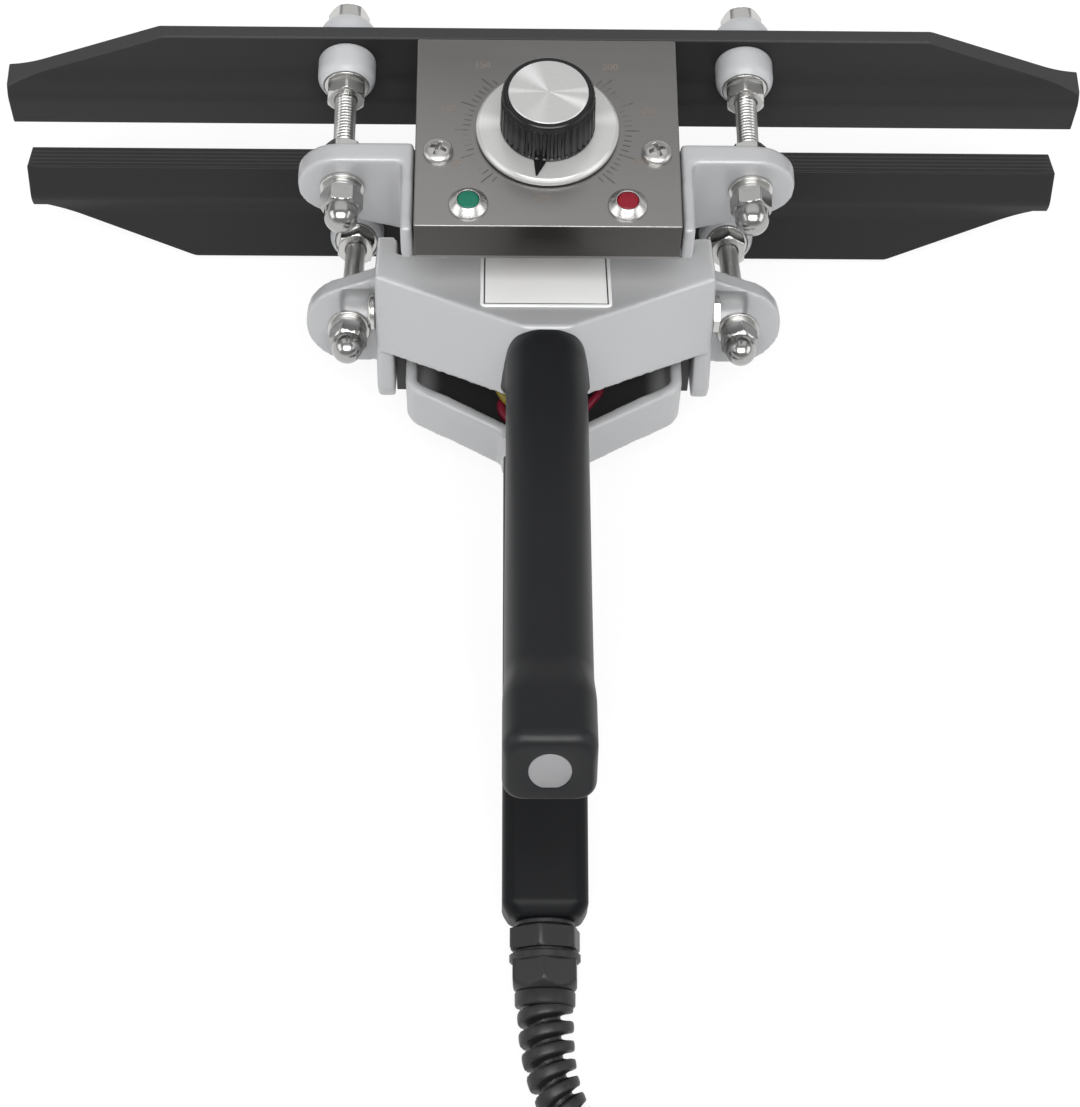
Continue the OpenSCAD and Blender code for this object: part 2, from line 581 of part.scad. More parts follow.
// ---------------------------------------------------------------- control box
module box_plan(in) translate([0, (box_y0 + box_y1) / 2])
    round_rect(box_w - 2 * in, box_l - 2 * in, 1.5 - in * 0.9);
module box_cover() color("#85837f") base_frame() difference() {
    translate([0, 0, tray_z]) linear_extrude(box_h) box_plan(0);
    translate([0, 0, tray_z - 1]) linear_extrude(box_h + 1 - sheet_t) box_plan(sheet_t);
    face_holes() {
        circle(d = bush_d + 2 * hole_play);
        circle(d = screw_d + 2 * hole_play, $fn = 32);
        circle(d = barrel_d + 0.2);
    }
}
// Holes through the face: one for the bush, two for the screws, two for the lamps
module face_holes() translate([0, 0, box_z - 5]) linear_extrude(10) {
    translate([0, knob_y]) children(0);
    for (s = [-1, 1]) translate([s * screw_gap / 2, screw_y]) children(1);
    for (s = [-1, 1]) translate([s * lamp_gap / 2, lamp_y]) children(2);
}
flange_h = 6;         // height of the tray's upturned flanges
wire_y = 12;          // place of the wires' way into the box
wire_slot = [24, 6];  // hole for them through the tray
module box_tray() color("#9a9894") base_frame() difference() {
    union() {
        translate([0, 0, tray_z - sheet_t]) linear_extrude(sheet_t) box_plan(0);
        for (s = [-1, 1]) translate([s * (box_w / 2 - sheet_t - 0.7) - sheet_t / 2, box_y0 + 3, tray_z - eps])
            cube([sheet_t, box_l - 6, flange_h]);
    }
    for (s = [-1, 1]) translate([s * screw_gap / 2, screw_y, tray_z - 2]) cylinder(d = lug_d + 1, h = 9);
    translate([0, wire_y - 1, tray_z - 2]) linear_extrude(4) round_rect(wire_slot.x, wire_slot.y, 2.5);
}
module box_screws() color("#c8cacc") base_frame() for (s = [-1, 1])
    translate([s * screw_gap / 2, screw_y, box_z]) difference() {
        union() {
            rotate_extrude() polygon([[0, 0], [4.1, 0], [4.1, 0.9], [3.7, 1.8], [2.8, 2.3], [0, 2.6]]);
            translate([0, 0, -10]) cylinder(d = screw_d, h = 10.5, $fn = 32);
        }
        for (a = [0, 90]) rotate(a + 20) translate([-2, -0.4, 1.1]) cube([4, 0.8, 3]);
    }
bush_d = 9.6;
bush_af = 13;
block = [30, 9, 8];   // terminal block
block_y = box_y1 - block.y - 5;
tag_l = 3;            // length of the thermostat's two tags
thermostat_w = 2 * (block_y - 0.3 - tag_l - knob_y);
thermostat_h = 9;
bush_l = 2.6;         // length of the thermostat's bush above the cover's face
module thermostat() color("#d9d4c4") base_frame() translate([0, knob_y, box_z - sheet_t]) difference() {
    union() {
        translate([-thermostat_w / 2, -thermostat_w / 2, -thermostat_h])
            cube([thermostat_w, thermostat_w, thermostat_h]);
        translate([0, 0, -5]) cylinder(d = bush_d, h = 5 + sheet_t + bush_l);
        for (s = [-1, 1]) translate([s * thermostat_w / 3 - 3, thermostat_w / 2 - 1, -6])
            cube([6, tag_l + 1, 0.8]);
    }
    translate([0, 0, 1 - thermostat_h]) cylinder(d = shaft_d + 2 * play, h = thermostat_h + sheet_t + bush_l);
}
module thermostat_nut() color("#b5b7b9") on_knob() linear_extrude(2) difference() {
    hexagon(bush_af);
    circle(d = bush_d + 2 * play);
}
shaft_z = 1.2 - thermostat_h - sheet_t;   // lower end of the thermostat's shaft
shaft_flat = 1.5;     // depth of the flat on the shaft
module thermostat_shaft() color("#c9cbcd") on_knob() difference() {
    translate([0, 0, shaft_z]) cylinder(d = shaft_d, h = knob_h - 3 - shaft_z);
    translate([shaft_d / 2 - shaft_flat, -5, 3]) cube([5, 10, 20]);
}
barrel_d = 8;
module lamp_at(s) base_frame() translate([s * lamp_gap / 2, lamp_y, box_z]) children();
module lamp_bezels() color("#cfd1d3") for (s = [-1, 1]) lamp_at(s) difference() {
    union() {
        cylinder(d = bezel_d, h = 0.6);
        translate([0, 0, 0.6]) cylinder(d1 = bezel_d, d2 = lens_d + 0.8, h = 1.8);
        translate([0, 0, -7]) cylinder(d = barrel_d, h = 7.5);
    }
    translate([0, 0, -8]) cylinder(d = lens_d + 0.1, h = 12);
}
module lens(s) lamp_at(s) rotate_extrude() polygon([[0, -4], [lens_d / 2, -4], [lens_d / 2, 2.1],
    [lens_d * 0.44, 2.4], [0, 2.55]]);
module green_lens() color("#249169") lens(-1);
module red_lens() color("#be142d") lens(1);
module lamp_bodies() color("#e4e2da") for (s = [-1, 1]) lamp_at(s) {
    translate([0, 0, -9.6]) cylinder(d = lens_d, h = 5.5);
    for (t = [-1, 1]) translate([t * 1.5 - 0.4, -0.4, -11.4]) cube([0.8, 0.8, 2]);
}
module terminal_block() color("#e9e7df") base_frame() translate([-block.x / 2, block_y, tray_z])
    difference() {
        cube(block);
        for (i = [0.5:2.5]) translate([i * block.x / 3, 0, 3]) {
            translate([0, block.y / 2, 0]) cylinder(d = 3.6, h = block.z);
            translate([0, -1, 0]) rotate([-90, 0, 0]) cylinder(d = 3, h = block.y + 2);
        }
    }

// ---------------------------------------------------------------- temperature knob
nut_room = bush_af / cos(30) + 2;
knob_z0 = skirt_gap + skirt_t;
rim_h = 2;
module on_knob() base_frame() translate([0, knob_y, box_z]) children();
module knob_skirt() color("#c6c6c4") on_knob() translate([0, 0, skirt_gap]) difference() {
    union() {
        cylinder(d = skirt_d, h = skirt_t - 0.8);
        translate([0, 0, skirt_t - 0.8]) cylinder(d1 = skirt_d, d2 = skirt_d - 1.6, h = 0.8);
    }
    translate([0, 0, -1]) cylinder(d = nut_room, h = 5);
}
module knob() color("#1b1b1d") on_knob() difference() {
    union() {
        translate([0, 0, knob_z0]) linear_extrude(knob_h - rim_h - knob_z0) difference() {
            circle(d = knob_d);
            for (i = [0:flute_n - 1]) rotate(i * 360 / flute_n) translate([knob_d / 2 + 0.15, 0])
                circle(flute_r, $fn = 16);
        }
        translate([0, 0, knob_h - rim_h]) cylinder(d = knob_d - 1, h = rim_h - 0.6);
        translate([0, 0, knob_h - 0.6]) cylinder(d1 = knob_d - 1, d2 = knob_d - 2.2, h = 0.6);
    }
    translate([0, 0, knob_h - 0.7]) cylinder(d = cap_d + 0.2, h = 3);
    cylinder(d = nut_room, h = 4.4);
    difference() {
        cylinder(d = shaft_d + 2 * play, h = knob_h - 2.4);
        translate([shaft_d / 2 - shaft_flat + 0.1, -5, 4.4]) cube([5, 10, 20]);
    }
}
cap_d = 21;
module knob_cap() color("#c9c9c7") on_knob() translate([0, 0, knob_h - 0.7]) {
    cylinder(d = cap_d, h = 0.5);
    cylinder(d1 = cap_d, d2 = cap_d - 0.8, h = 0.9);
}

// ---------------------------------------------------------------- gland, wires and mains lead
neck_l = 1.6;
body_hex = 6.9;
nut_flange = 2;
gland_hex_z = lower_grip_l + neck_l;
gland_nut_z = gland_hex_z + body_hex;
guard_z = gland_nut_z + 13.8;
module gland_body() color("#1f2022") lower_axis() difference() {
    union() {
        translate([0, 0, stem_end - 11]) cylinder(d = gland_bore - 0.1, h = 14);
        translate([0, 0, lower_grip_l]) cylinder(d = gland_af - 1, h = neck_l);
        translate([0, 0, gland_hex_z]) linear_extrude(body_hex) rotate(30) hexagon(gland_af);
        translate([0, 0, gland_nut_z - 1]) cylinder(d = gland_bore, h = 8);
    }
    cylinder(d = cord_bore, h = 200);
    translate([0, 0, gland_nut_z + 1]) cylinder(d = gland_bore - 2, h = 9);
}
module gland_seal() color("#101012") lower_axis() translate([0, 0, gland_nut_z + 1]) difference() {
    cylinder(d = gland_bore - 2.1, h = 6);
    translate([0, 0, -1]) cylinder(d = cord_d + 0.3, h = 9);
}
module gland_nut() color("#1f2022") lower_axis() translate([0, 0, gland_nut_z]) difference() {
    union() {
        translate([0, 0, 0.1]) cylinder(d = gland_af / cos(30) + 0.2, h = nut_flange);
        intersection() {
            linear_extrude(9.6) rotate(30) hexagon(gland_af - 0.8);
            rotate_extrude() polygon([[0, 1], [10, 1], [10, 7], [8, 9.6], [0, 9.6]]);
        }
        translate([0, 0, 9]) cylinder(d = gland_af, h = 4.5);
    }
    translate([0, 0, -1]) cylinder(d = gland_bore + 2 * play, h = 8.4);
    cylinder(d = cord_bore, h = 30);
}

// A point on the lower handle's axis, and the lead's free route over the table in hand-laid steps
function lower_point(t) = in_world([0, lower_axis_y - t * cos(lower_slope), lower_axis_z - t * sin(lower_slope)]);
exit_p = lower_point(guard_z);
fall = exit_p.z - cord_d / 2 - 0.05;
// Each step: X and Y from the gland, and how much of the fall to the table is done
guard_route = [[0, 0, 0], [0, -5, 0.09], [0.3, -10, 0.18], [0.9, -15, 0.26], [1.8, -19.5, 0.33], [3.2, -24, 0.4],
    [5.6, -28, 0.47], [9, -32, 0.55], [13.6, -35.5, 0.64]];
guard_taper = [1, 1, 0.97, 0.93, 0.89, 0.85, 0.8, 0.74, 0.68];
lead_route = [[21, -38.3, 0.77], [30, -40.2, 0.9], [42, -40.9, 0.96], [60, -40.7, 0.94], [78, -40.7, 0.85]];
function laid(p) = exit_p + [p.x, p.y, -fall * p.z];
guard_pts = smooth([for (p = guard_route) laid(p)], 3);
module bend_guard() color("#1f2022") sweep_tube(guard_pts,
    [for (i = [0:len(guard_pts) - 1]) guard_d / 2 * lookup(i / 3, [for (k = [0:8]) [k, guard_taper[k]]])
        - (i % 2 == 0 ? 0.35 : 0)], cord_bore / 2, 16, [0, 0, 1]);
coil_turns = [2, 3];          // turns side by side, and layers
coil_r = 36;                  // radius at the middle of the turns
tie_t = 0.8;
coil_out = coil_r + coil_turns.x * cord_d / 2;
lead_end = laid(lead_route[len(lead_route) - 1]);
coil_c = [lead_end.x, lead_end.y - coil_out - cord_d / 2 - 0.05, tie_t];
module cord() color("#1b1b1d") {
    free = smooth(concat([guard_pts[len(guard_pts) - 1]], [for (p = lead_route) laid(p)]), 2);
    sweep(concat([for (t = [-6, 20, 60, 100, 140]) lower_point(t)], guard_pts,
        [for (i = [1:len(free) - 1]) free[i]]), cord_d / 2, 12, [0, 0, 1]);
}
module cord_coil() color("#1b1b1d") translate(coil_c) rotate_extrude($fn = 96)
    translate([coil_r, coil_turns.y * cord_d / 2])
    round_rect(coil_turns.x * cord_d, coil_turns.y * cord_d, cord_d / 2);
module cord_tie() color("#3a3b3d") translate(coil_c + [coil_r, 0, -tie_t]) rotate([90, 0, 0])
    translate([0, 0, -4]) linear_extrude(8) difference() {
        w = coil_turns.x * cord_d + 0.6;
        h = coil_turns.y * cord_d + 0.2;
        translate([0, h / 2 + tie_t - 0.1]) round_rect(w + 2 * tie_t, h + 2 * tie_t - 0.2, 3);
        translate([0, h / 2 + tie_t - 0.1]) round_rect(w, h, 2.6);
    }
tail_route = [[0, 0, 0], [-12, 0, 0], [-21, -0.4, 1.8], [-29, -0.6, 4.8], [-36, -0.6, 6.5], [-40, -0.6, 6.6]];
tail_start = [coil_c.x, coil_c.y - coil_out - cord_d / 2 - 0.05, lead_end.z];
plug_p = tail_start + tail_route[len(tail_route) - 1] - [0.2, 0, 0];
module cord_tail() color("#1b1b1d")
    sweep(smooth([for (p = tail_route) tail_start + p], 2), cord_d / 2, 12, [0, 0, 1]);
plug_w = 26;
plug_h = 2 * plug_p.z;
plug_neck = 16;
plug_l = 22;
module plug() color("#1b1b1d") translate(plug_p) rotate([0, -90, 0]) {
    cylinder(d1 = cord_d + 3, d2 = cord_d + 7, h = plug_neck);
    translate([0, 0, plug_neck - eps]) difference() {
        linear_extrude(plug_l) round_rect(plug_h, plug_w, 5);
        pins(0.1, plug_l - 6);
    }
}
// Two flat blades and a round earth pin
module pins(gap, z) translate([0, 0, z]) {
    for (s = [-1, 1]) translate([-1 - gap, s * 6.35 - 0.75 - gap, 0]) cube([6.3 + 2 * gap, 1.5 + 2 * gap, 22.9]);
    translate([-6.2, 0, 0]) cylinder(d = 4.8 + 2 * gap, h = 25, $fn = 32);
}
module plug_pins() color("#c9b27a") translate(plug_p) rotate([0, -90, 0]) translate([0, 0, plug_neck]) pins(0, plug_l - 6);
// Inner wires from the cord's end in the trough, past the spring and up into the control box
wire_d = 2.4;
function wire_pts(start, x) = smooth([for (p = [[start.x, -26, start.y], [(start.x + x) / 2, -22, start.y - 1.2],
    [x * 1.3, -15, -20], [x * 1.3, -5, -19.6], [x, 4, -17], [x * 0.8, 10.4, -10], [x * 0.7, 12.4, 0],
    [x * 0.7, 12.6, 18], [x * 0.7, 12.4, 32],
    [x * 0.7, 12.4, 40.2]]) in_world(p)], 3);
module live_wires() color("#8d1f2a") {
    sweep(wire_pts([-1.5, -18.6], -9), wire_d / 2, 10, [1, 0, 0]);
    sweep(wire_pts([0, -16], -13), wire_d / 2, 10, [1, 0, 0]);
}
module earth_wire() color("#d8c020") sweep(wire_pts([1.5, -18.6], 9), wire_d / 2, 10, [1, 0, 0]);

base_arm();
upper_jaw();
upper_heater();
upper_jaw_bolts();
upper_collars();
upper_hex_nuts();
upper_washers();
upper_lock_washers();
upper_acorn_nuts();
box_cover();
box_tray();
box_screws();
thermostat();
thermostat_nut();
lamp_bezels();
green_lens();
red_lens();
lamp_bodies();
terminal_block();
pivot_bolt();
pivot_nut();
guide_plates();
return_spring();
lower_grip();
gland_body();
gland_nut();
gland_seal();
bend_guard();
live_wires();
earth_wire();
cord();
cord_coil();
cord_tail();
cord_tie();
plug();
plug_pins();
moving_arm();
lower_jaw();
lower_heater();
lower_jaw_bolts();
lower_collars();
lower_hex_nuts();
lower_washers();
lower_lock_washers();
lower_acorn_nuts();
upper_grip();
label_plate();
knob();
knob_skirt();
knob_cap();
thermostat_shaft();
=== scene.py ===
import json
from math import cos, pi, radians, sin, tan

import bmesh
import bpy
import numpy as np
from mathutils import Euler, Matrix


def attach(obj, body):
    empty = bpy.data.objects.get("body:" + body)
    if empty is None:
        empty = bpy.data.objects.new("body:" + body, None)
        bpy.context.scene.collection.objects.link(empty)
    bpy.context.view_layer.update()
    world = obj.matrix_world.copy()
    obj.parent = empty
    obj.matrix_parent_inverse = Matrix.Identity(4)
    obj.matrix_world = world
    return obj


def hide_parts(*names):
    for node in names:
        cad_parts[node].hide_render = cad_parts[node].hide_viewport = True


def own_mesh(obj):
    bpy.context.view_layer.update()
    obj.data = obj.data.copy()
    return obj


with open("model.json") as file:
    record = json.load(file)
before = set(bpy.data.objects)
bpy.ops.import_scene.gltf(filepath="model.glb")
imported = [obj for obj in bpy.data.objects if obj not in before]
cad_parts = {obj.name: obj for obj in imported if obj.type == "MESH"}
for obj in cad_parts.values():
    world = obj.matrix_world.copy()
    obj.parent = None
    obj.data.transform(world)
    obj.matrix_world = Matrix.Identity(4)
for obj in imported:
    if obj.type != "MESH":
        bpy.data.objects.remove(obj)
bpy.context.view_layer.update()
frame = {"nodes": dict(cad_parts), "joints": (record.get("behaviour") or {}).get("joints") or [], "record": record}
nodes = frame["nodes"]
fixedBody = "fixed_arm_body"
movingBody = "moving_arm_body"
knobBody = "knob_body"

# The two arms share one pivot. Each arm's own frame has X along the pivot bolt, Y towards the jaws and Z up.
arms = {
    "pivot": np.array(frame["joints"][0]["pos_m"]),
    "tilt": radians(3.25),
    "open": radians(22),
}
fixedArm = arms["tilt"]
movingArm = arms["tilt"] + arms["open"]


def place(points, angle=fixedArm):
    # A point in an arm's own frame, in millimetres, turns about X and moves to the pivot, in metres
    p = np.asarray(points, float)
    c, s = cos(angle), sin(angle)
    turned = np.stack([p[..., 0], p[..., 1] * c + p[..., 2] * s, p[..., 2] * c - p[..., 1] * s], -1)
    return turned / 1000 + arms["pivot"]


camera = {
    "fromPivot": (-0.01311, -0.37088, 0.597102),
    "turn": (26.3735, -1.0059, -0.2188),  # degrees about X, Y and Z
    "lens": 83.76,
    "sensor": 36.0,
}
light = {
    "top": {"place": (0.0, 0.78, 1.3), "turn": (-31, 0, 0), "size": (2.0, 1.0), "power": 4.2},
    "left": {"place": (-1.1, -0.2, 0.7), "turn": (0, -60, 0), "size": (0.5, 1.0), "power": 3.2},
    "right": {"place": (1.1, -0.2, 0.7), "turn": (0, 60, 0), "size": (0.5, 1.0), "power": 3.2},
    "front": {"place": (0.0, -0.6, 1.35), "turn": (24.5, 0, 0), "size": (1.4, 0.7), "power": 26.0},
}
# The sky's brightness at the horizon and overhead, and as a plain light
sky = {"low": 1.0, "high": 0.3, "diffuse": 0.5}
floor = {"across": 8.0, "tone": 0.9, "white": 0.86}


def makeCamera():
    data = bpy.data.cameras.new("camera")
    data.lens = camera["lens"]
    data.sensor_fit = "HORIZONTAL"
    data.sensor_width = camera["sensor"]
    data.clip_start = 0.01
    obj = bpy.data.objects.new("camera", data)
    obj.location = arms["pivot"] + camera["fromPivot"]
    obj.rotation_euler = Euler([radians(a) for a in camera["turn"]])
    bpy.context.scene.collection.objects.link(obj)
    bpy.context.scene.camera = obj


def makeLights():
    for name, lamp in light.items():
        data = bpy.data.lights.new(name, "AREA")
        data.shape = "RECTANGLE"
        data.size, data.size_y = lamp["size"]
        data.energy = lamp["power"]
        obj = bpy.data.objects.new(name, data)
        obj.location = lamp["place"]
        obj.rotation_euler = Euler([radians(a) for a in lamp["turn"]])
        bpy.context.scene.collection.objects.link(obj)
    world = bpy.data.worlds.new("world")
    bpy.context.scene.world = world
    world.use_nodes = True
    tree = world.node_tree
    tree.nodes.clear()
    seen = seenBy(tree, "Is Camera Ray", "Is Transmission Ray")
    mirrored = seenBy(tree, "Is Glossy Ray")
    # In a mirror the sky falls from white at the horizon to grey overhead
    upward = Socket(tree, tree.nodes.new("ShaderNodeTexCoord").outputs["Generated"])
    split = tree.nodes.new("ShaderNodeSeparateXYZ")
    tree.links.new(upward.socket, split.inputs[0])
    height = Socket(tree, split.outputs["Z"])
    fall = (height * 3.2).maths("MINIMUM", 1.0).maths("MAXIMUM", 0.0)
    shown = fall * (sky["high"] - sky["low"]) + sky["low"]
    plain = mirrored * (shown - sky["diffuse"]) + sky["diffuse"]
    back = tree.nodes.new("ShaderNodeBackground")
    back.inputs["Color"].default_value = (1, 1, 1, 1)
    join(tree, seen * (1.0 - plain) + plain, back.inputs["Strength"])
    out = tree.nodes.new("ShaderNodeOutputWorld")
    tree.links.new(back.outputs[0], out.inputs["Surface"])
    bpy.context.scene.view_settings.view_transform = "Standard"


def seenBy(tree, *rays):
    # 1 for the named kinds of ray and 0 for all others
    path = tree.nodes.new("ShaderNodeLightPath")
    total = Socket(tree, path.outputs[rays[0]])
    for ray in rays[1:]:
        total = total + Socket(tree, path.outputs[ray])
    return total


def makeFloor():
    half = floor["across"] / 2
    mesh = bpy.data.meshes.new("floor")
    mesh.from_pydata([(-half, -half, 0), (half, -half, 0), (half, half, 0), (-half, half, 0)], [],
                     [(0, 1, 2, 3)])
    paper = bpy.data.materials.new("floorPaper")
    paper.use_nodes = True
    tree = paper.node_tree
    plain = tree.nodes["Principled BSDF"]
    plain.inputs["Base Color"].default_value = (floor["tone"],) * 3 + (1,)
    plain.inputs["Roughness"].default_value = 0.9
    plain.inputs["Specular IOR Level"].default_value = 0.0
    glow = tree.nodes.new("ShaderNodeEmission")
    mix = tree.nodes.new("ShaderNodeMixShader")
    seen = seenBy(tree, "Is Camera Ray", "Is Glossy Ray", "Is Transmission Ray")
    join(tree, seen * floor["white"], mix.inputs[0])
    tree.links.new(plain.outputs[0], mix.inputs[1])
    tree.links.new(glow.outputs[0], mix.inputs[2])
    tree.links.new(mix.outputs[0], tree.nodes["Material Output"].inputs["Surface"])
    mesh.materials.append(paper)
    obj = bpy.data.objects.new("floor", mesh)
    bpy.context.scene.collection.objects.link(obj)


class Socket:
    # A node's socket that can be added, taken away, multiplied and divided in a Python expression
    def __init__(self, tree, socket):
        self.tree, self.socket = tree, socket

    def maths(self, operation, *others, swapped=False):
        made = self.tree.nodes.new("ShaderNodeMath")
        made.operation = operation
        terms = [self, *others]
        if swapped:
            terms.reverse()
        for i, term in enumerate(terms):
            join(self.tree, term, made.inputs[i])
        return Socket(self.tree, made.outputs[0])

    def __add__(self, other):
        return self.maths("ADD", other)

    def __sub__(self, other):
        return self.maths("SUBTRACT", other)

    def __mul__(self, other):
        return self.maths("MULTIPLY", other)

    def __truediv__(self, other):
        return self.maths("DIVIDE", other)

    def __pow__(self, other):
        return self.maths("POWER", other)

    def __radd__(self, other):
        return self.maths("ADD", other, swapped=True)

    def __rsub__(self, other):
        return self.maths("SUBTRACT", other, swapped=True)

    def __rmul__(self, other):
        return self.maths("MULTIPLY", other, swapped=True)



def join(tree, value, target):
    if isinstance(value, Socket):
        tree.links.new(value.socket, target)
    else:
        target.default_value = value


makeCamera()
makeLights()
makeFloor()
print("camera, lights and floor are in place")


class Finish:
    # A material with one Principled shader; node() adds any other node to it
    def __init__(self, name, **sockets):
        self.material = bpy.data.materials.new(name)
        self.material.use_nodes = True
        self.tree = self.material.node_tree
        self.shader = self.tree.nodes["Principled BSDF"]
        self.give(**sockets)

    def give(self, **sockets):
        for name, value in sockets.items():
            target = self.shader.inputs[name.replace("_", " ").title().replace("Ior", "IOR")]
            if isinstance(value, tuple) and len(value) == 3 and target.type == "RGBA":
                value = (*value, 1)
            join(self.tree, value, target)
        return self

    def node(self, kind, settings=None, output=0, **inputs):
        made = self.tree.nodes.new("ShaderNode" + kind)
        for key, value in (settings or {}).items():
            setattr(made, key, value)
        for key, value in inputs.items():
            target = made.inputs[key.replace("_", " ")]
            if isinstance(value, tuple) and len(value) == 3 and target.type == "RGBA":
                value = (*value, 1)
            join(self.tree, value, target)
        return Socket(self.tree, made.outputs[output])

    def where(self, place=(0, 0, 0), turn=(0, 0, 0), stretch=(1, 1, 1)):
        # Object coordinates seen from a place, turned and stretched
        spot = self.node("TexCoord", output="Object")
        return self.node("Mapping", {"vector_type": "TEXTURE"}, Vector=spot, Location=place,
                         Rotation=turn, Scale=stretch)

    def grain(self, scale, detail=4.0, rough=0.55, stretch=(1, 1, 1)):
        return self.node("TexNoise", Vector=self.where(stretch=stretch), Scale=scale, Detail=detail,
                         Roughness=rough)

    def between(self, mask, low, high):
        # A value that runs from low to high as the mask runs from 0 to 1
        return mask * (high - low) + low

    def step(self, value, low, high):
        return self.node("MapRange", {"interpolation_type": "SMOOTHSTEP"}, Value=value, From_Min=low,
                         From_Max=high)

    def blend(self, mask, first, second, how="MIX"):
        made = self.tree.nodes.new("ShaderNodeMix")
        made.data_type, made.blend_type = "RGBA", how
        join(self.tree, mask, made.inputs[0])
        for value, slot in ((first, 6), (second, 7)):
            join(self.tree, (*value, 1) if isinstance(value, tuple) else value, made.inputs[slot])
        return Socket(self.tree, made.outputs[2])

    def bump(self, height, strength, distance):
        made = self.tree.nodes.new("ShaderNodeBump")
        made.inputs["Strength"].default_value = strength
        made.inputs["Distance"].default_value = distance
        join(self.tree, height, made.inputs["Height"])
        return Socket(self.tree, made.outputs[0])


def castingPaint(name, hollow=None):
    f = Finish(name, metallic=0.25, coat_weight=0.25, coat_roughness=0.28)
    fleck = f.grain(2600, 2, 0.6)
    cloud = f.grain(28, 3, 0.5)
    tone = f.between(cloud, 0.94, 1.05) * f.between(fleck, 0.96, 1.04)
    base = f.blend(1.0, (0.352, 0.355, 0.362), f.node("CombineColor", Red=tone, Green=tone, Blue=tone),
                   "MULTIPLY")
    if hollow:
        # The fixed arm's trough is coloured near black inside: between its floor and rim, inward of its slanted
        # rear walls
        spot = f.where(place=tuple(arms["pivot"]), turn=(-fixedArm, 0, 0))
        x, y, z = (f.node("SeparateXYZ", Vector=spot, output=i) * 1000 for i in (0, 1, 2))
        x = x.maths("ABSOLUTE")
        wall = y - (x * hollow["slant"] + hollow["y"] - hollow["x"] * hollow["slant"])
        walled = f.step(wall, hollow["wall"] - 0.9, hollow["wall"] - 0.5)
        inside = walled * (1 - f.step(z, hollow["rim"] - 0.7, hollow["rim"] - 0.3))
        inside = inside * (1 - f.step(x, hollow["half"] - 6, hollow["half"])) * f.step(z, -26.5, -26.0)
        base = f.blend(inside, base, (0.026, 0.026, 0.027))
    else:
        # Painted light: the moving arm's top is coloured paler where the control box's shadow falls on it, to
        # cancel that shadow
        spot = f.where(place=tuple(arms["pivot"]), turn=(-movingArm, 0, 0))
        y, z = (f.node("SeparateXYZ", Vector=spot, output=i) * 1000 for i in (1, 2))
        paintedLift = f.step(y, -26, 0) * f.step(z, 15.6, 16.0)
        base = f.blend(paintedLift, base, (0.56, 0.563, 0.57))
    f.give(base_color=base, roughness=f.between(cloud, 0.4, 0.5),
           normal=f.bump(fleck * 0.5 + f.grain(420, 2) * 0.5, 0.22, 0.00006))
    return f.material


def jawCoating(name, angle):
    # A dark satin coat with a painted highlight: the fin's narrow top is coloured lighter, standing in for the
    # light it catches. That top falls in a straight line at both ends
    f = Finish(name, metallic=0.0, specular_ior_level=0.22)
    fine = f.grain(1500, 3, 0.6)
    along = f.grain(60, 3, 0.5, stretch=(9, 1, 1))
    spot = f.where(place=tuple(arms["pivot"]), turn=(-angle, 0, 0))
    x, y, z = (f.node("SeparateXYZ", Vector=spot, output=i) * 1000 for i in (0, 1, 2))
    fall = ((x.maths("ABSOLUTE") - 105) / 44.5).maths("MAXIMUM", 0.0) * 18.4
    # Painted highlight: the fin's top is coloured lighter
    crest = f.step(z + fall, 46.75, 47.0)
    base = f.blend(f.between(along, 0.2, 0.8), (0.011, 0.011, 0.0112), (0.0155, 0.0155, 0.0158))
    base = f.blend(crest, base, (0.031, 0.031, 0.0315))
    f.give(base_color=base, roughness=f.between(along, 0.5, 0.58), normal=f.bump(fine, 0.18, 0.00005))
    return f.material


def steel(name, tone, rough, scratch=0.15):
    f = Finish(name, metallic=1.0)
    fine = f.grain(900, 3, 0.6)
    cloud = f.grain(140, 3, 0.5)
    base = f.blend(cloud, tuple(0.9 * c for c in tone), tuple(min(1.0, 1.06 * c) for c in tone))
    f.give(base_color=base, roughness=f.between(cloud, rough * 0.85, rough * 1.25),
           normal=f.bump(fine, scratch, 0.00003))
    return f.material


def plastic(name, tone, rough, grainSize=1400, depth=0.12, **extra):
    f = Finish(name, **extra)
    fine = f.grain(grainSize, 3, 0.6)
    cloud = f.grain(45, 3, 0.5)
    base = f.blend(cloud, tuple(0.88 * c for c in tone), tuple(1.12 * c for c in tone))
    f.give(base_color=base, roughness=f.between(cloud, rough - 0.05, rough + 0.06),
           normal=f.bump(fine, depth, 0.00006))
    return f.material


def spunMetal(name, tone, metal, rays):
    # Fine turning rings, and painted highlights: light fans (angle, half width, strength) painted into the colour,
    # as lathe-turned metal shows them under light
    f = Finish(name, metallic=metal)
    spot = f.where(place=tuple(facePoint(0, box["knobY"])), turn=(-fixedArm, 0, 0))
    x, y = (f.node("SeparateXYZ", Vector=spot, output=i) for i in (0, 1))
    radius = (x * x + y * y) ** 0.5
    angle = y.maths("ARCTAN2", x)
    paintedFans = 0.0
    for at, width, strength in rays:
        off = ((angle - radians(at)) / 2).maths("SINE").maths("ABSOLUTE")
        paintedFans = (1 - f.step(off, 0, sin(radians(width) / 2))) * strength + paintedFans
    ring = (radius * (2 * pi / 0.0009)).maths("SINE")
    wobble = f.node("TexNoise", Vector=f.node("CombineXYZ", X=radius * 1700), Scale=1.0, Detail=2.0)
    low, high = tuple(0.7 * c for c in tone), tuple(min(0.98, 1.5 * c) for c in tone)
    base = f.blend((paintedFans + wobble * 0.22).maths("MINIMUM", 1.0), low, high)
    f.give(base_color=base, roughness=f.between(wobble, 0.26, 0.34), normal=f.bump(ring, 0.05, 0.00003))
    return f.material


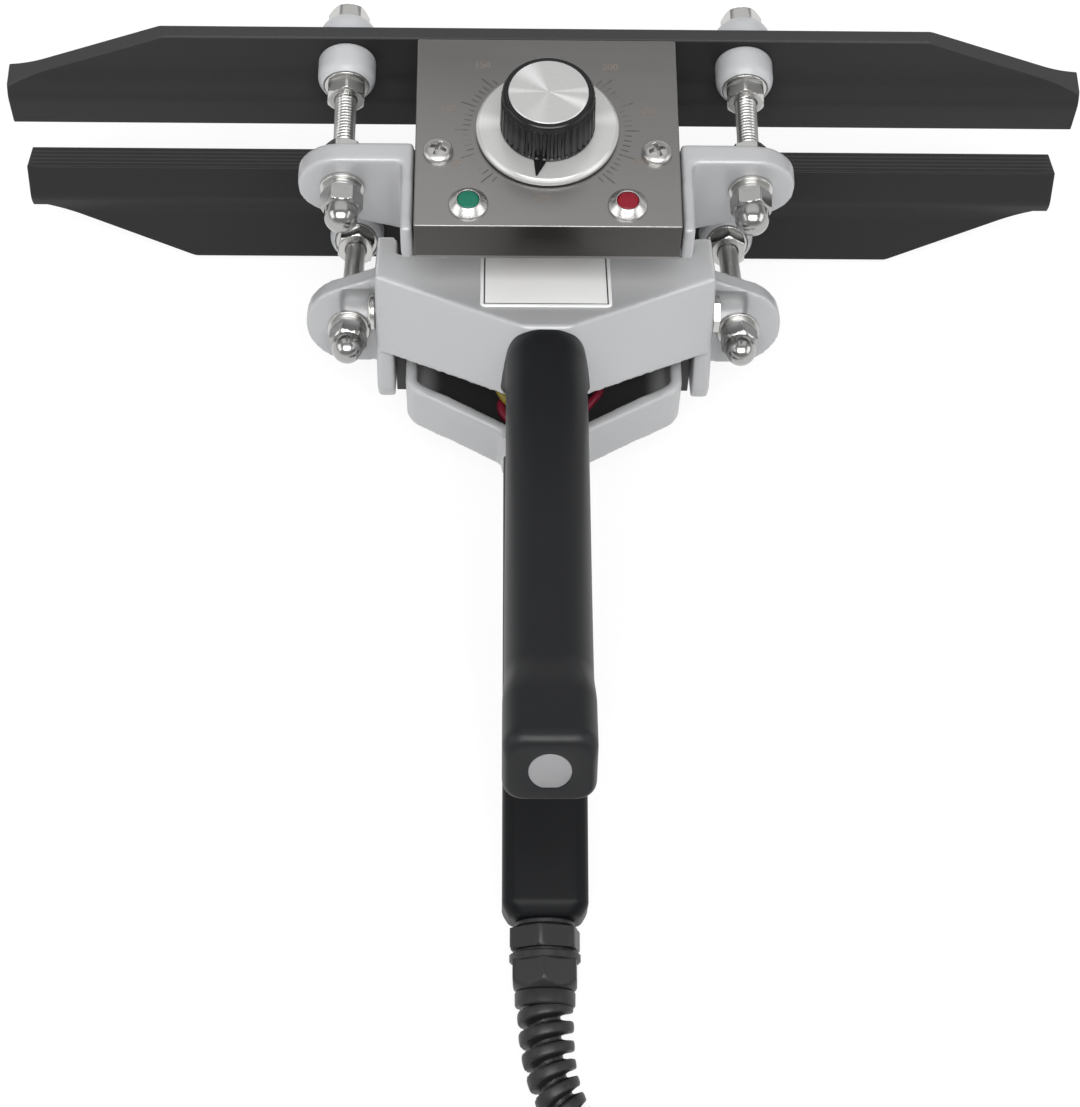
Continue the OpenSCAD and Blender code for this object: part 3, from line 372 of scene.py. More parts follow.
def platePaint():
    # A blank white plate with a thin dark line a little inside its edge
    f = Finish("plateWhite", coat_weight=0.1)
    spot = f.where(place=tuple(place([0, plate["y"], plate["z"]], movingArm)), turn=(-movingArm, 0, 0))
    x, y = (f.node("SeparateXYZ", Vector=spot, output=i) * 1000 for i in (0, 1))
    edge = (x.maths("ABSOLUTE") - (plate["width"] / 2 - plate["inset"])).maths(
        "MAXIMUM", y.maths("ABSOLUTE") - (plate["length"] / 2 - plate["inset"]))
    line = 1 - f.step(edge.maths("ABSOLUTE"), plate["line"] / 2 - 0.05, plate["line"] / 2 + 0.05)
    cloud = f.grain(60, 3)
    paper = f.blend(cloud, (0.74, 0.74, 0.735), (0.80, 0.80, 0.795))
    f.give(base_color=f.blend(line, paper, (0.03, 0.03, 0.032)), roughness=f.between(cloud, 0.36, 0.46),
           normal=f.bump(f.grain(700, 2), 0.05, 0.00003))
    return f.material


def dialPrint():
    # Old orange ink, worn thin over the steel
    f = Finish("dialPrint", metallic=0.6)
    worn = f.grain(420, 3)
    f.give(base_color=f.blend(worn, (0.20, 0.165, 0.14), (0.25, 0.20, 0.165)),
           roughness=f.between(worn, 0.36, 0.46))
    return f.material


def coverSteel():
    # Brushed stainless steel with the dial's faint printed marks round the knob
    f = Finish("coverSteel", metallic=1.0)
    brush = f.grain(120, 4, 0.6, stretch=(14, 1, 1))
    fine = f.grain(900, 3, 0.6, stretch=(30, 1, 1))
    cloud = f.grain(22, 3, 0.5)
    base = f.blend(f.between(brush, 0.2, 0.8) * 0.5 + cloud * 0.5, (0.238, 0.233, 0.227),
                   (0.315, 0.309, 0.301))
    spot = f.where(place=tuple(facePoint(0, box["knobY"])), turn=(-fixedArm, 0, 0))
    x, y, up = (f.node("SeparateXYZ", Vector=spot, output=i) * 1000 for i in (0, 1, 2))
    radius = (x * x + y * y) ** 0.5
    angle = y.maths("ARCTAN2", x) * (180 / pi)
    # A mark every step degrees, each fifth one longer, over the two side ranges of the dial
    off = ((angle / dial["step"] + 100.5).maths("FRACT") - 0.5).maths("ABSOLUTE") * dial["step"]
    off = off * (pi / 180) * radius
    long = ((angle / (dial["step"] * 5) + 100.5).maths("FRACT") - 0.5).maths("ABSOLUTE") * (dial["step"] * 5)
    reach = (1 - f.step(long, dial["step"] * 0.4, dial["step"] * 0.6)) * dial["longer"] + dial["outer"]
    mark = (1 - f.step(off, 0.08, 0.26)) * f.step(radius, dial["inner"], dial["inner"] + 0.3)
    mark = mark * (1 - f.step(radius - reach, -0.2, 0.2)) * f.step(up, -0.3, -0.1)
    side = f.step(x.maths("ABSOLUTE") / radius, dial["from"], dial["from"] + 0.05)
    worn = f.step(f.grain(160, 3), 0.36, 0.6)
    base = f.blend(mark * side * worn * 0.75, base, (0.07, 0.055, 0.045))
    # Painted reflection: the upright sides and the fold into the face are coloured darker, standing in for the
    # dark gap beside them that they mirror
    base = f.blend(1 - f.step(up, -0.5, -0.03), base, (0.085, 0.081, 0.078))
    f.give(base_color=base, roughness=f.between(brush, 0.3, 0.4), normal=f.bump(fine, 0.2, 0.00004))
    return f.material


box = {"face": 50.6, "knobY": 23.4, "lampY": -1.4, "lampGap": 41.6, "screwY": 15.8, "screwGap": 57.8,
       "width": 70.0, "front": -8.3, "back": 54.7, "low": 37.8, "sheet": 1.0, "fold": 0.35, "corner": 0.5}
screw = {"rim": 0.6, "dome": 1.6, "slot": 0.5, "reach": 2.1, "deep": 1.5, "turn": 20}
plate = {"y": -9.7, "z": 16.9, "width": 35.4, "length": 26.0, "inset": 1.1, "line": 0.4}
dial = {"letter": 3.0, "step": 4.5, "inner": 20.3, "outer": 22.6, "longer": 2.2, "from": 0.6}


def facePoint(x, y, up=0.0):
    return place([x, y, box["face"] + up])


finishes = {
    "casting": castingPaint("castingPaint"),
    "troughCasting": castingPaint("troughPaint",
                                  {"x": 36.6, "y": -19.5, "slant": 0.552, "wall": 4.0, "rim": -10.0,
                                                  "half": 34.5}),
    "jaw": jawCoating("jawCoating", fixedArm),
    "jawLow": jawCoating("jawCoatingLow", movingArm),
    "polished": steel("polishedSteel", (0.42, 0.418, 0.41), 0.2),
    "bezel": steel("bezelSteel", (0.56, 0.555, 0.545), 0.26),
    "screw": steel("screwSteel", (0.52, 0.515, 0.505), 0.32),
    "zinc": steel("zincSteel", (0.50, 0.50, 0.49), 0.32),
    "spring": steel("springSteel", (0.30, 0.30, 0.31), 0.3),
    "heater": steel("heaterSteel", (0.33, 0.32, 0.30), 0.42),
    "collar": plastic("collarNylon", (0.36, 0.365, 0.375), 0.36, 500, 0.05, subsurface_weight=0.35,
                      subsurface_radius=(0.004, 0.004, 0.004), subsurface_scale=1.0),
    "grip": plastic("gripBlack", (0.0062, 0.0066, 0.0075), 0.42, 1700, 0.15, specular_ior_level=0.27),
    # Painted shade: a darker copy of the grip black for the lower handle
    "gripLowShaded": plastic("gripBlackLowShaded", (0.0035, 0.0038, 0.0044), 0.42, 1700, 0.15, specular_ior_level=0.12),
    "black": plastic("blackPlastic", (0.0095, 0.0097, 0.0102), 0.42, 1200, 0.12, specular_ior_level=0.35),
    "cordBlack": plastic("cordBlack", (0.012, 0.012, 0.0125), 0.5, 1500, 0.1, specular_ior_level=0.4),
    "seal": plastic("sealRubber", (0.012, 0.012, 0.012), 0.7),
    "knobBlack": plastic("knobBlack", (0.0045, 0.0045, 0.005), 0.24, 900, 0.04, specular_ior_level=0.32),
    # Painted shade: the casting's stem is painted grey, coloured darker than the casting for the shade in the
    # handle's end hole
    "stem": plastic("stemPaintShaded", (0.195, 0.195, 0.20), 0.45, 900, 0.08),
    "cream": plastic("creamPlastic", (0.62, 0.57, 0.45), 0.45),
    "wireRed": plastic("wireRed", (0.17, 0.006, 0.022), 0.42),
    "wireYellow": plastic("wireYellow", (0.28, 0.22, 0.03), 0.42),
    "brass": steel("pinBrass", (0.62, 0.47, 0.22), 0.25),
    "bright": steel("brightSteel", (0.58, 0.575, 0.56), 0.24),
    "green": plastic("lensGreen", (0.007, 0.108, 0.066), 0.3, 300, 0.03, specular_ior_level=0.25),
    "red": plastic("lensRed", (0.155, 0.004, 0.012), 0.3, 300, 0.03, specular_ior_level=0.25),
    # The knob's cap and skirt carry painted highlights: light fans painted into their colour
    "capSpun": spunMetal("capSpun", (0.68, 0.68, 0.67), 0.8,
                         ((128, 30, 0.42), (-24, 16, 0.5), (178, 9, 0.3), (4, 9, 0.3), (-112, 26, 0.12))),
    "skirtSpun": spunMetal("skirtSpun", (0.60, 0.60, 0.59), 0.5,
                           ((176, 14, 0.3), (8, 12, 0.24), (-60, 30, 0.12))),
    "plate": platePaint(),
    "print": dialPrint(),
    "cover": coverSteel(),
    "coverInside": steel("traySteel", (0.28, 0.275, 0.265), 0.45),
}


def gridFaces(rows, columns, first=0, ringed=False):
    # Quads between neighbouring rows of a grid whose columns run round and meet; ringed joins the last row
    # to the first
    i = np.arange(rows if ringed else rows - 1)[:, None]
    j = np.arange(columns)[None, :]
    up, side = (i + 1) % rows, (j + 1) % columns
    corners = (i * columns + j, i * columns + side, up * columns + side, up * columns + j)
    return first + np.stack(corners, -1).reshape(-1, 4)


def finishMesh(mesh, sharp, merge=1e-7):
    # Merges what meets, turns the faces outwards and shades smooth except at edges sharper than the angle
    bm = bmesh.new()
    bm.from_mesh(mesh)
    bmesh.ops.remove_doubles(bm, verts=bm.verts, dist=merge)
    bmesh.ops.dissolve_degenerate(bm, edges=bm.edges, dist=merge)
    bmesh.ops.recalc_face_normals(bm, faces=bm.faces)
    bm.to_mesh(mesh)
    bm.free()
    mesh.polygons.foreach_set("use_smooth", np.ones(len(mesh.polygons), bool))
    mesh.set_sharp_from_angle(angle=radians(sharp))


def addPiece(name, grids, finish, body, slot, stands=(), sharp=35, ringed=True):
    # One piece from grids of points; each grid is a closed ring of rows, or has its two ends capped
    points, faces, first = [], [], 0
    for grid in grids:
        rows, columns = grid.shape[:2]
        points.append(grid.reshape(-1, 3))
        faces.extend(gridFaces(rows, columns, first, ringed).tolist())
        if not ringed:
            faces.append(list(range(first, first + columns)))
            faces.append(list(range(first + (rows - 1) * columns, first + rows * columns)))
        first += rows * columns
    mesh = bpy.data.meshes.new(name)
    mesh.from_pydata(np.concatenate(points).tolist(), [], faces)
    finishMesh(mesh, sharp)
    return settle(name, mesh, finish, body, stands)


def settle(name, mesh, finish, body, stands=()):
    mesh.materials.clear()
    mesh.materials.append(finish)
    obj = bpy.data.objects.new(name, mesh)
    bpy.context.scene.collection.objects.link(obj)
    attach(obj, body)
    if stands:
        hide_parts(*stands)
    return obj


def eased(profile, size, steps=4):
    # A closed or open outline of (along, radius) with each corner turned into a short curve:
    # (1-u)^2 a + 2u(1-u) corner + u^2 b, where a and b lie at most size from the corner
    p = np.asarray(profile, float)
    size = np.broadcast_to(size, len(p))
    u = np.linspace(0, 1, steps)[:, None]
    out = []
    for i, corner in enumerate(p):
        before, after = p[i - 1] - corner, p[(i + 1) % len(p)] - corner
        lengths = np.linalg.norm(before), np.linalg.norm(after)
        if size[i] == 0 or min(lengths) == 0:
            out.append(corner[None])
            continue
        a = corner + before / lengths[0] * min(size[i], lengths[0] * 0.48)
        b = corner + after / lengths[1] * min(size[i], lengths[1] * 0.48)
        out.append((1 - u) ** 2 * a + 2 * u * (1 - u) * corner + u ** 2 * b)
    return np.concatenate(out)


def ringsAlongY(profile, centre, columns=48, limit=None):
    # Each profile point (y, r) is a circle x = r cos a, z = r sin a round the centre line; limit(a) caps
    # the radius
    p = np.asarray(profile, float)
    a = np.arange(columns) * 2 * pi / columns
    r = np.repeat(p[:, 1:2], columns, 1)
    if limit is not None:
        r = np.minimum(r, limit(a)[None])
    y = np.repeat(p[:, :1], columns, 1)
    return np.stack([centre[0] + r * np.cos(a), y, centre[1] + r * np.sin(a)], -1)


def hexagonRadius(flats, turn=0.0):
    # Distance from the axis to a hexagon's side in the direction a, with a corner at a = turn degrees
    return lambda a: flats / 2 / np.cos(np.mod(a - radians(turn), pi / 3) - pi / 6)


def mergedCopy(node, name, flatter=0.0):
    # A node's mesh with its loose triangles merged, and its faces too where they meet flatter than the angle
    mesh = nodes[node].data.copy()
    mesh.name = name
    bm = bmesh.new()
    bm.from_mesh(mesh)
    bmesh.ops.remove_doubles(bm, verts=bm.verts, dist=2e-6)
    if flatter:
        bmesh.ops.dissolve_limit(bm, angle_limit=radians(flatter), verts=bm.verts, edges=bm.edges)
    bm.to_mesh(mesh)
    bm.free()
    return mesh


def meshPoints(mesh):
    points = np.empty(len(mesh.vertices) * 3)
    mesh.vertices.foreach_get("co", points)
    return points.reshape(-1, 3)


def softened(node, name, finish, width, angle=30, steps=3):
    # A merged copy of a node with its edges rounded
    mesh = mergedCopy(node, name, 0.6)
    mesh.polygons.foreach_set("use_smooth", np.ones(len(mesh.polygons), bool))
    mesh.set_sharp_from_angle(angle=radians(angle))
    obj = settle(name, mesh, finish, bodyOf(node), (node,))
    bevel = obj.modifiers.new("rounding", "BEVEL")
    bevel.width = width / 1000
    bevel.segments = steps
    bevel.limit_method = "ANGLE"
    bevel.angle_limit = radians(angle)
    bevel.use_clamp_overlap = True
    bevel.harden_normals = False
    bevel.miter_outer = "MITER_ARC"
    return obj


def castCopy(node, name, finish, voxel, rounds):
    # A merged copy of a node rebuilt as an even skin and relaxed, which rounds its edges and fills its
    # corners as a casting's are
    obj = settle(name, mergedCopy(node, name), finish, bodyOf(node), (node,))
    skin = obj.modifiers.new("skin", "REMESH")
    skin.mode = "VOXEL"
    skin.voxel_size = voxel / 1000
    skin.use_smooth_shade = True
    relax = obj.modifiers.new("relax", "SMOOTH")
    relax.factor = 0.5
    relax.iterations = rounds
    return obj


def bodyOf(node):
    for body, members in frame["record"]["behaviour"]["bodies"].items():
        if node in members:
            return body


def dress(node, finish):
    # The node's own solid stays and takes a finish
    mesh = nodes[node].data
    mesh.materials.clear()
    mesh.materials.append(finish)


def tube(path, radius, columns=20, up=(0.0, 0.0, 1.0)):
    # A ring of the radius across each point of the path: p + r (cos a * side + sin a * over)
    p = np.asarray(path, float)
    t = np.gradient(p, axis=0)
    t /= np.linalg.norm(t, axis=1)[:, None]
    side = np.cross(t, np.asarray(up))
    side /= np.linalg.norm(side, axis=1)[:, None]
    over = np.cross(side, t)
    a = np.arange(columns) * 2 * pi / columns
    r = np.asarray(radius, float)
    r = np.broadcast_to(r[:, None] if r.ndim == 1 else r, (len(p), columns))[..., None]
    c, s = np.cos(a)[None, :, None], np.sin(a)[None, :, None]
    return p[:, None] + r * (c * side[:, None] + s * over[:, None])


def smoothPath(points, steps):
    # The curve that passes through the points, each stretch a cubic of the two points before and the two
    # after
    p = np.asarray(points, float)
    q = np.concatenate([p[:1], p, p[-1:]])
    u = np.linspace(0, 1, steps, endpoint=False)[None, :, None]
    a, b, c, d = (q[i:len(q) - 3 + i, None] for i in range(4))
    curve = 0.5 * (2 * b + (c - a) * u + (2 * a - 5 * b + 4 * c - d) * u ** 2
                   + (3 * b - a - 3 * c + d) * u ** 3)
    return np.concatenate([curve.reshape(-1, p.shape[1]), p[-1:]])


def ease(value, low, high):
    # 0 below low, 1 above high and a smooth rise between them
    u = np.clip((np.asarray(value, float) - low) / (high - low), 0, 1)
    return u * u * (3 - 2 * u)


lower = {"y": -33.0, "z": -18.75, "slope": radians(10), "length": 133.0}
lead = {
    "thick": 6.6,
    "glandEnd": 155.3,
    "guard": [[0, 0, 0], [0, -5, .09], [.3, -10, .18], [.9, -15, .26], [1.8, -19.5, .33], [3.2, -24, .4],
              [5.6, -28, .47], [9, -32, .55], [13.6, -35.5, .64]],
    "free": [[21, -38.3, .77], [30, -40.2, .9], [42, -40.9, .96], [60, -40.7, .94], [78, -40.7, .85]],
    "tail": [[0, 0, 0], [-12, 0, 0], [-21, -.4, 1.8], [-29, -.6, 4.8], [-36, -.6, 6.5], [-40, -.6, 6.6]],
    "coilRadius": 36.0,
    "tie": 0.8, "spacing": 2.4, "rounds": 13,
}


def lowerPoint(along, up=0.0, side=0.0):
    # A point of the lower handle in metres: along its axis from the trough, up across it and sideways
    s, c = sin(lower["slope"]), cos(lower["slope"])
    along, up, side = np.broadcast_arrays(*(np.asarray(v, float) for v in (along, up, side)))
    return place(np.stack([side, lower["y"] - along * c - up * s, lower["z"] - along * s + up * c], -1))


def makeLeadPath():
    start = lowerPoint(lead["glandEnd"]) * 1000
    fall = start[2] - lead["thick"] / 2 - 0.05
    laid = np.array(lead["guard"] + lead["free"])
    laid = start + np.stack([laid[:, 0], laid[:, 1], -fall * laid[:, 2]], -1)
    out = lead["coilRadius"] + lead["thick"]
    reach = out + lead["thick"] / 2 + 0.05
    middle = laid[-1] - [0, reach, 0]
    # The coil: a turn lies at each of these radii and layers, and the lead steps from one to the next
    half = lead["thick"] / 2
    ringAt = np.array([[80, half, 0], [385, -half, 0], [693, -half, 1], [1001, half, 1], [1309, -half, 2],
                       [1617, half, 2]])
    turn = np.arange(0, 1980, 5.0)
    radius = np.full(turn.shape, reach)
    layer = np.zeros(turn.shape)
    now = [reach, 0.0]
    for begin, side, high in ringAt:
        width = 50 if begin == 80 else 34
        step = ease(turn, begin - width, begin + width)
        radius += step * (lead["coilRadius"] + side - now[0])
        layer += step * (high - now[1])
        now = [lead["coilRadius"] + side, high]
    # The way out: over the outer turn's shoulder and down beside it
    shoulder = ease(turn, 1870, 1940) * pi / 2
    outward = turn > 1870
    radius = np.where(outward, now[0] + lead["thick"] * np.sin(shoulder), radius)
    layer = np.where(outward, 1 + np.cos(shoulder) - ease(turn, 1905, 1985), layer)
    level = lead["tie"] + half
    angle = np.radians(90 - turn)
    coil = np.stack([middle[0] + radius * np.cos(angle), middle[1] + radius * np.sin(angle),
                     level + layer * lead["thick"]], -1)
    tailStart = np.array([middle[0], middle[1] - reach, laid[-1][2]])
    tail = tailStart + np.array(lead["tail"])
    path = np.concatenate([smoothPath(laid, 6)[:-1], coil, smoothPath(tail, 4)])
    # Evenly spaced points, then each moved towards the middle of its neighbours, which eases the bends
    along = np.concatenate([[0], np.cumsum(np.linalg.norm(np.diff(path, axis=0), axis=1))])
    even = np.linspace(0, along[-1], int(along[-1] / lead["spacing"]))
    path = np.stack([np.interp(even, along, path[:, k]) for k in range(3)], -1)
    for _ in range(lead["rounds"]):
        path[1:-1] += 0.25 * (path[:-2] - 2 * path[1:-1] + path[2:])
    guarded = np.argmin(np.linalg.norm(path[:60] - laid[8], axis=1)) + 1
    return path / 1000, path[:guarded] / 1000


leadPath, guardPath = makeLeadPath()


def makeLead():
    thick = lead["thick"] / 1000
    cord = addPiece("mains_lead", [tube(leadPath, thick / 2)], finishes["cordBlack"], fixedBody,
                    "black_plastic",
                    ("cord", "cord_coil", "cord_tail"), 60, ringed=False)
    inside = lowerPoint(np.linspace(-6, lead["glandEnd"] + 1, 30))
    addPiece("lead_inside", [tube(inside, thick / 2)], finishes["cordBlack"], fixedBody, "black_plastic",
             sharp=60, ringed=False)
    plug = softened("plug", "plug_body", finishes["black"], 1.6, 30, 4)
    tie = softened("cord_tie", "coil_tie", finishes["seal"], 0.25, 30, 2)
    dress("plug_pins", finishes["brass"])


makeLead()
print("the lead is laid")

guard = {
    "pitch": 5.2, "core": 3.9, "ridge": 7.3, "share": 0.66,
    "taper": [1, 1, .97, .93, .89, .85, .8, .74, .68],
}


def makeGuard():
    # The guard's radius is its core plus a rounded ridge that climbs one pitch in each turn
    columns = 40
    length = np.concatenate([[0], np.cumsum(np.linalg.norm(np.diff(guardPath, axis=0), axis=1))]) * 1000
    rows = int(length[-1] / (guard["pitch"] / 18))
    s = np.linspace(0, length[-1], rows)
    path = np.stack([np.interp(s, length, guardPath[:, k]) for k in range(3)], -1)
    taper = np.interp(s, np.linspace(0, length[-1], len(guard["taper"])), guard["taper"])
    a = np.arange(columns) / columns
    phase = np.mod(s[:, None] / guard["pitch"] + a[None], 1)
    edge = np.abs(phase - 0.5) * 2
    ridge = 1 - ease(edge, guard["share"] - 0.1, guard["share"] + 0.12)
    crown = 1 - 0.12 * np.clip(edge / guard["share"], 0, 1) ** 3
    outer = taper[:, None] * (guard["core"] + (guard["ridge"] - guard["core"]) * ridge * crown)
    outer = np.maximum(outer, lead["thick"] / 2 + 0.3)
    outer[0] = outer[-1] = lead["thick"] / 2 + 0.2
    body = tube(path, outer / 1000, columns)
    body[..., 2] = np.maximum(body[..., 2], 0.0001)
    addPiece("spiral_guard", [body], finishes["black"], fixedBody, "black_plastic", ("bend_guard",), 50,
             ringed=False)


makeGuard()
print("the bend guard is wound")


casting = {"voxel": 0.72, "rounds": 9}


def makeCastings():
    for node, name, finish in (("base_arm", "fixed_casting", "troughCasting"),
                               ("moving_arm", "moving_casting", "casting")):
        castCopy(node, name, finishes[finish], casting["voxel"], casting["rounds"])


makeCastings()
print("the castings are made")

jaws = {
    "middle": 59.7, "half": 150.0, "width": 11.6, "bar": 10.7, "fin": 4.2, "foot": 16.3, "tall": 32.4,
    "trim": 14.0, "ridges": 5, "ridge": 0.08,
    "upper": {"seam": 15.0, "up": 1, "angle": fixedArm, "body": fixedBody, "run": 105.0, "flat": 0.5,
              "shift": 0.5,
              "finish": "jaw"},
    "lower": {"seam": 14.6, "up": -1, "angle": movingArm, "body": movingBody, "run": 103.0, "flat": 4.2,
              "shift": 0.0,
              "finish": "jawLow"},
}


def jawOutline(shift):
    # Across the jaw, (depth, height) from the sealing face: ridges below, the bar's sides, a slope with
    # soft ends up to the fin, and the fin's two sides
    w, fin = jaws["width"] / 2, jaws["fin"] / 2
    pitch = jaws["width"] / (jaws["ridges"] + 0.5)
    d = np.linspace(-w + 0.5, w - 0.5, 56)
    wave = np.abs(np.mod(d / pitch + jaws["ridges"] / 2 + shift + 0.25, 1) - 0.5) * 2
    face = np.stack([d, jaws["ridge"] * (1 - ease(wave, 0.15, 0.85))], -1)
    u = np.linspace(0, pi / 2, 9)[1:]
    corner = np.stack([w - 0.5 + 0.5 * np.sin(u), 0.5 - 0.5 * np.cos(u)], -1)
    slope = eased([[w, jaws["bar"] - 4], [w, jaws["bar"]], [fin, jaws["foot"]], [fin, jaws["foot"] + 4]],
                  [0, 1.7, 2.4, 0], 8)
    rise = jaws["foot"] + 4 + np.linspace(0.3, 1, 3) * (jaws["tall"] - 4.6 - jaws["foot"])
    side = np.stack([np.full(3, fin), rise], -1)
    crest = np.stack([fin - 0.6 + 0.6 * np.cos(u), jaws["tall"] - 0.6 + 0.6 * np.sin(u)], -1)
    half = np.concatenate([corner, slope, side, crest])
    return np.concatenate([face, half, half[::-1] * [-1, 1]])


def makeJaw(name):
    spec = jaws[name]
    outline = jawOutline(spec["shift"])
    # The fin's top falls in a straight line from the end of its level run to the trimmed ends
    ends = jaws["half"] - spec["flat"]
    x = np.concatenate([np.linspace(0, spec["run"] - 2, 12), spec["run"] + np.linspace(-1.5, 1.5, 7),
                        np.linspace(spec["run"] + 3, ends - 0.6,
                                    26), [ends, jaws["half"] - 0.25, jaws["half"]]])
    x = np.unique(np.concatenate([-x, x]))
    far = np.clip((np.abs(x) - spec["run"]) / (ends - spec["run"]), 0, 1)
    top = jaws["tall"] - far * (jaws["tall"] - jaws["trim"])
    # The fin is cut off by that line; what lies above it moves down to the cut, no wider than the jaw is
    # there
    z = outline[None, :, 1] * np.ones((len(x), 1))
    depth = outline[None, :, 0] * np.ones((len(x), 1))
    rise = outline[56:56 + (len(outline) - 56) // 2]
    width = np.interp(top, rise[:, 1], rise[:, 0])[:, None]
    width = np.maximum(width, jaws["fin"] / 2)
    above = z > top[:, None] - 0.01
    full = top[:, None] > jaws["tall"] - 0.01
    cut = np.sign(depth) * np.minimum(np.abs(depth) * width / (jaws["fin"] / 2), width)
    depth = np.where(above & ~full, cut, depth)
    z = np.minimum(z, top[:, None])
    inset = np.where(np.abs(x) > jaws["half"] - 0.1, 0.22, 0.0)[:, None]
    depth = depth * (1 - inset / 5.8)
    z = np.clip(z, inset, top[:, None] - inset)
    points = np.stack([x[:, None] + 0 * z, jaws["middle"] + depth, spec["seam"] + spec["up"] * z], -1)
    addPiece(name + "_jaw_bar", [place(points, spec["angle"])], finishes[spec["finish"]], spec["body"],
             "jaw_coating",
             (name + "_jaw",), 38, ringed=False)
    dress(name + "_heater", finishes["heater"])


makeJaw("upper")
makeJaw("lower")
print("the jaws are milled")


bolt = {
    "gap": 109.6, "head": 5.0, "thick": 6.0, "pitch": 1.0, "depth": 0.33, "flats": 10.0,
    "upper": {"z": 37.6, "ear": 14.6, "angle": fixedArm, "front": 7.5,
              "turned": (6, 30, 12, 8)},  # degrees: head, jaw nut, ear nut, acorn nut
    "lower": {"z": -8.0, "ear": 4.0, "angle": movingArm, "front": 6.2,
              "turned": (20, 24, 3, 17)},
    "collar": 15.8, "washer": 12.0,
    "slim": {"upper": 1.0, "lower": 0.94},
    # how much longer the jaw's inner collars are than their plain solids
    "longer": {"upper": 1.6, "lower": 0.0},
}


def onBolts(side, rings):
    # The same rings of (y, r) round both bolts of a jaw
    spec = bolt[side]
    return [place(ring, spec["angle"]) for x in (-1, 1) for ring in rings((x * bolt["gap"] / 2, spec["z"]))]


def threadedRod(centre, y0, y1, columns=24):
    # Radius = crest - depth * |2 f - 1| with f the fraction of a pitch at height y + a / 2 pi
    rows = int((y1 - y0) / bolt["pitch"] * 6)
    y = np.linspace(y0, y1, rows)[:, None]
    a = np.arange(columns)[None] * 2 * pi / columns
    f = np.mod(y / bolt["pitch"] + a / 2 / pi, 1)
    r = bolt["thick"] / 2 - 0.03 - bolt["depth"] * np.abs(2 * f - 1)
    r[0] = r[-1] = bolt["thick"] / 2 - bolt["depth"] - 0.1
    y = y + 0 * a
    return np.stack([centre[0] + r * np.cos(a), y, centre[1] + r * np.sin(a)], -1)


def hexNut(centre, y0, y1, turn=0.0, bore=6.1, flats=10.0):
    # The hexagon meets a cone at both ends, which leaves the curved edges of a chamfered nut
    limit = hexagonRadius(flats, turn)
    corner, edge = flats / 2 / cos(pi / 6), flats / 2 - 0.1
    slope = (corner - edge) * tan(radians(30))
    y = np.concatenate([[y0], y0 + slope * np.linspace(0, 1, 5), y1 - slope * np.linspace(1, 0, 5), [y1]])
    r = np.concatenate([[edge - 0.3], edge + (corner - edge) * np.linspace(0, 1, 5),
                        edge + (corner - edge) * np.linspace(1, 0, 5), [edge - 0.3]])
    profile = np.concatenate([np.stack([y, r], -1), [[y1, bore / 2 + 0.25], [y1 - 0.25, bore / 2],
                                                     [y0 + 0.25, bore / 2], [y0, bore / 2 + 0.25]]])
    return ringsAlongY(profile, centre, 96, limit)


def washerRings(centre, y0, y1, across, bore=6.1, rounding=0.25):
    profile = eased([[y0, bore / 2], [y0, across / 2], [y1, across / 2], [y1, bore / 2]],
                    [0.1, rounding, rounding, 0.1])
    return ringsAlongY(profile, centre, 64)


def collarRings(centre, inner, outer, over):
    # A barrel with soft edges; its outer end reaches over the washer, which sits in a shallow recess
    way = 1 if outer > inner else -1
    r, rim = bolt["collar"] / 2, bolt["washer"] / 2 + 0.35
    end = outer + way * over * 0.8
    profile = eased([[inner, 3.05], [inner, r - 0.2], [inner + way * 0.4, r], [end - way * 2.0, r],
                     [end, r - 1.3], [end, rim if over else r - 2.4], [outer, rim if over else r - 2.9],
                     [outer, 3.05]],
                    [0, .15, .3, 1.6, 0.7, 0.2, 0.1, 0], 6)
    return ringsAlongY(profile, centre, 72)


def acornNut(centre, y0, turn=0.0, slim=1.0, length=12.0):
    # A chamfered hexagon, a short neck and a dome that ends in a point on the axis
    limit = hexagonRadius(bolt["flats"] * slim, turn)
    corner, edge, dome = bolt["flats"] / 2 / cos(pi / 6), bolt["flats"] / 2 - 0.1, 4.6
    flat = length - dome - 1.7
    u = np.linspace(0, pi / 2, 12)
    profile = np.concatenate([
        [[y0, 3.05], [y0, edge - 0.3]],
        np.stack([y0 - 0.5 * np.linspace(0, 1, 5), edge + (corner - edge) * np.linspace(0, 1, 5)], -1),
        np.stack([y0 - flat + 0.9 * np.linspace(1, 0, 5), edge - 0.35 + (corner - edge + 0.35)
                  * np.linspace(1, 0, 5)], -1),
        [[y0 - flat - 0.35, dome - 0.02]],
        np.stack([y0 - length + dome - dome * np.sin(u), dome * np.cos(u)], -1),
    ])
    profile[-1, 1] = 0
    profile[2:, 1] *= slim
    bore = [[y0 - 7, 0], [y0 - 7, 3.05]]
    return ringsAlongY(np.concatenate([profile, bore]), centre, 96, limit)


def splitWasher(centre, y0, y1):
    # One turn of a square wire with a slanted gap underneath
    a = np.radians(np.linspace(-83, 263, 72))[:, None]
    drift = np.linspace(-0.12, 0.12, 72)[:, None]
    corners = eased([[y0, 3.05], [y0, 5.0], [y1, 5.0], [y1, 3.05]], 0.2)[None]
    r, y = corners[..., 1], np.clip(corners[..., 0] + drift, y0, y1)
    return np.stack([centre[0] + r * np.cos(a), y + 0 * a, centre[1] + r * np.sin(a)], -1)


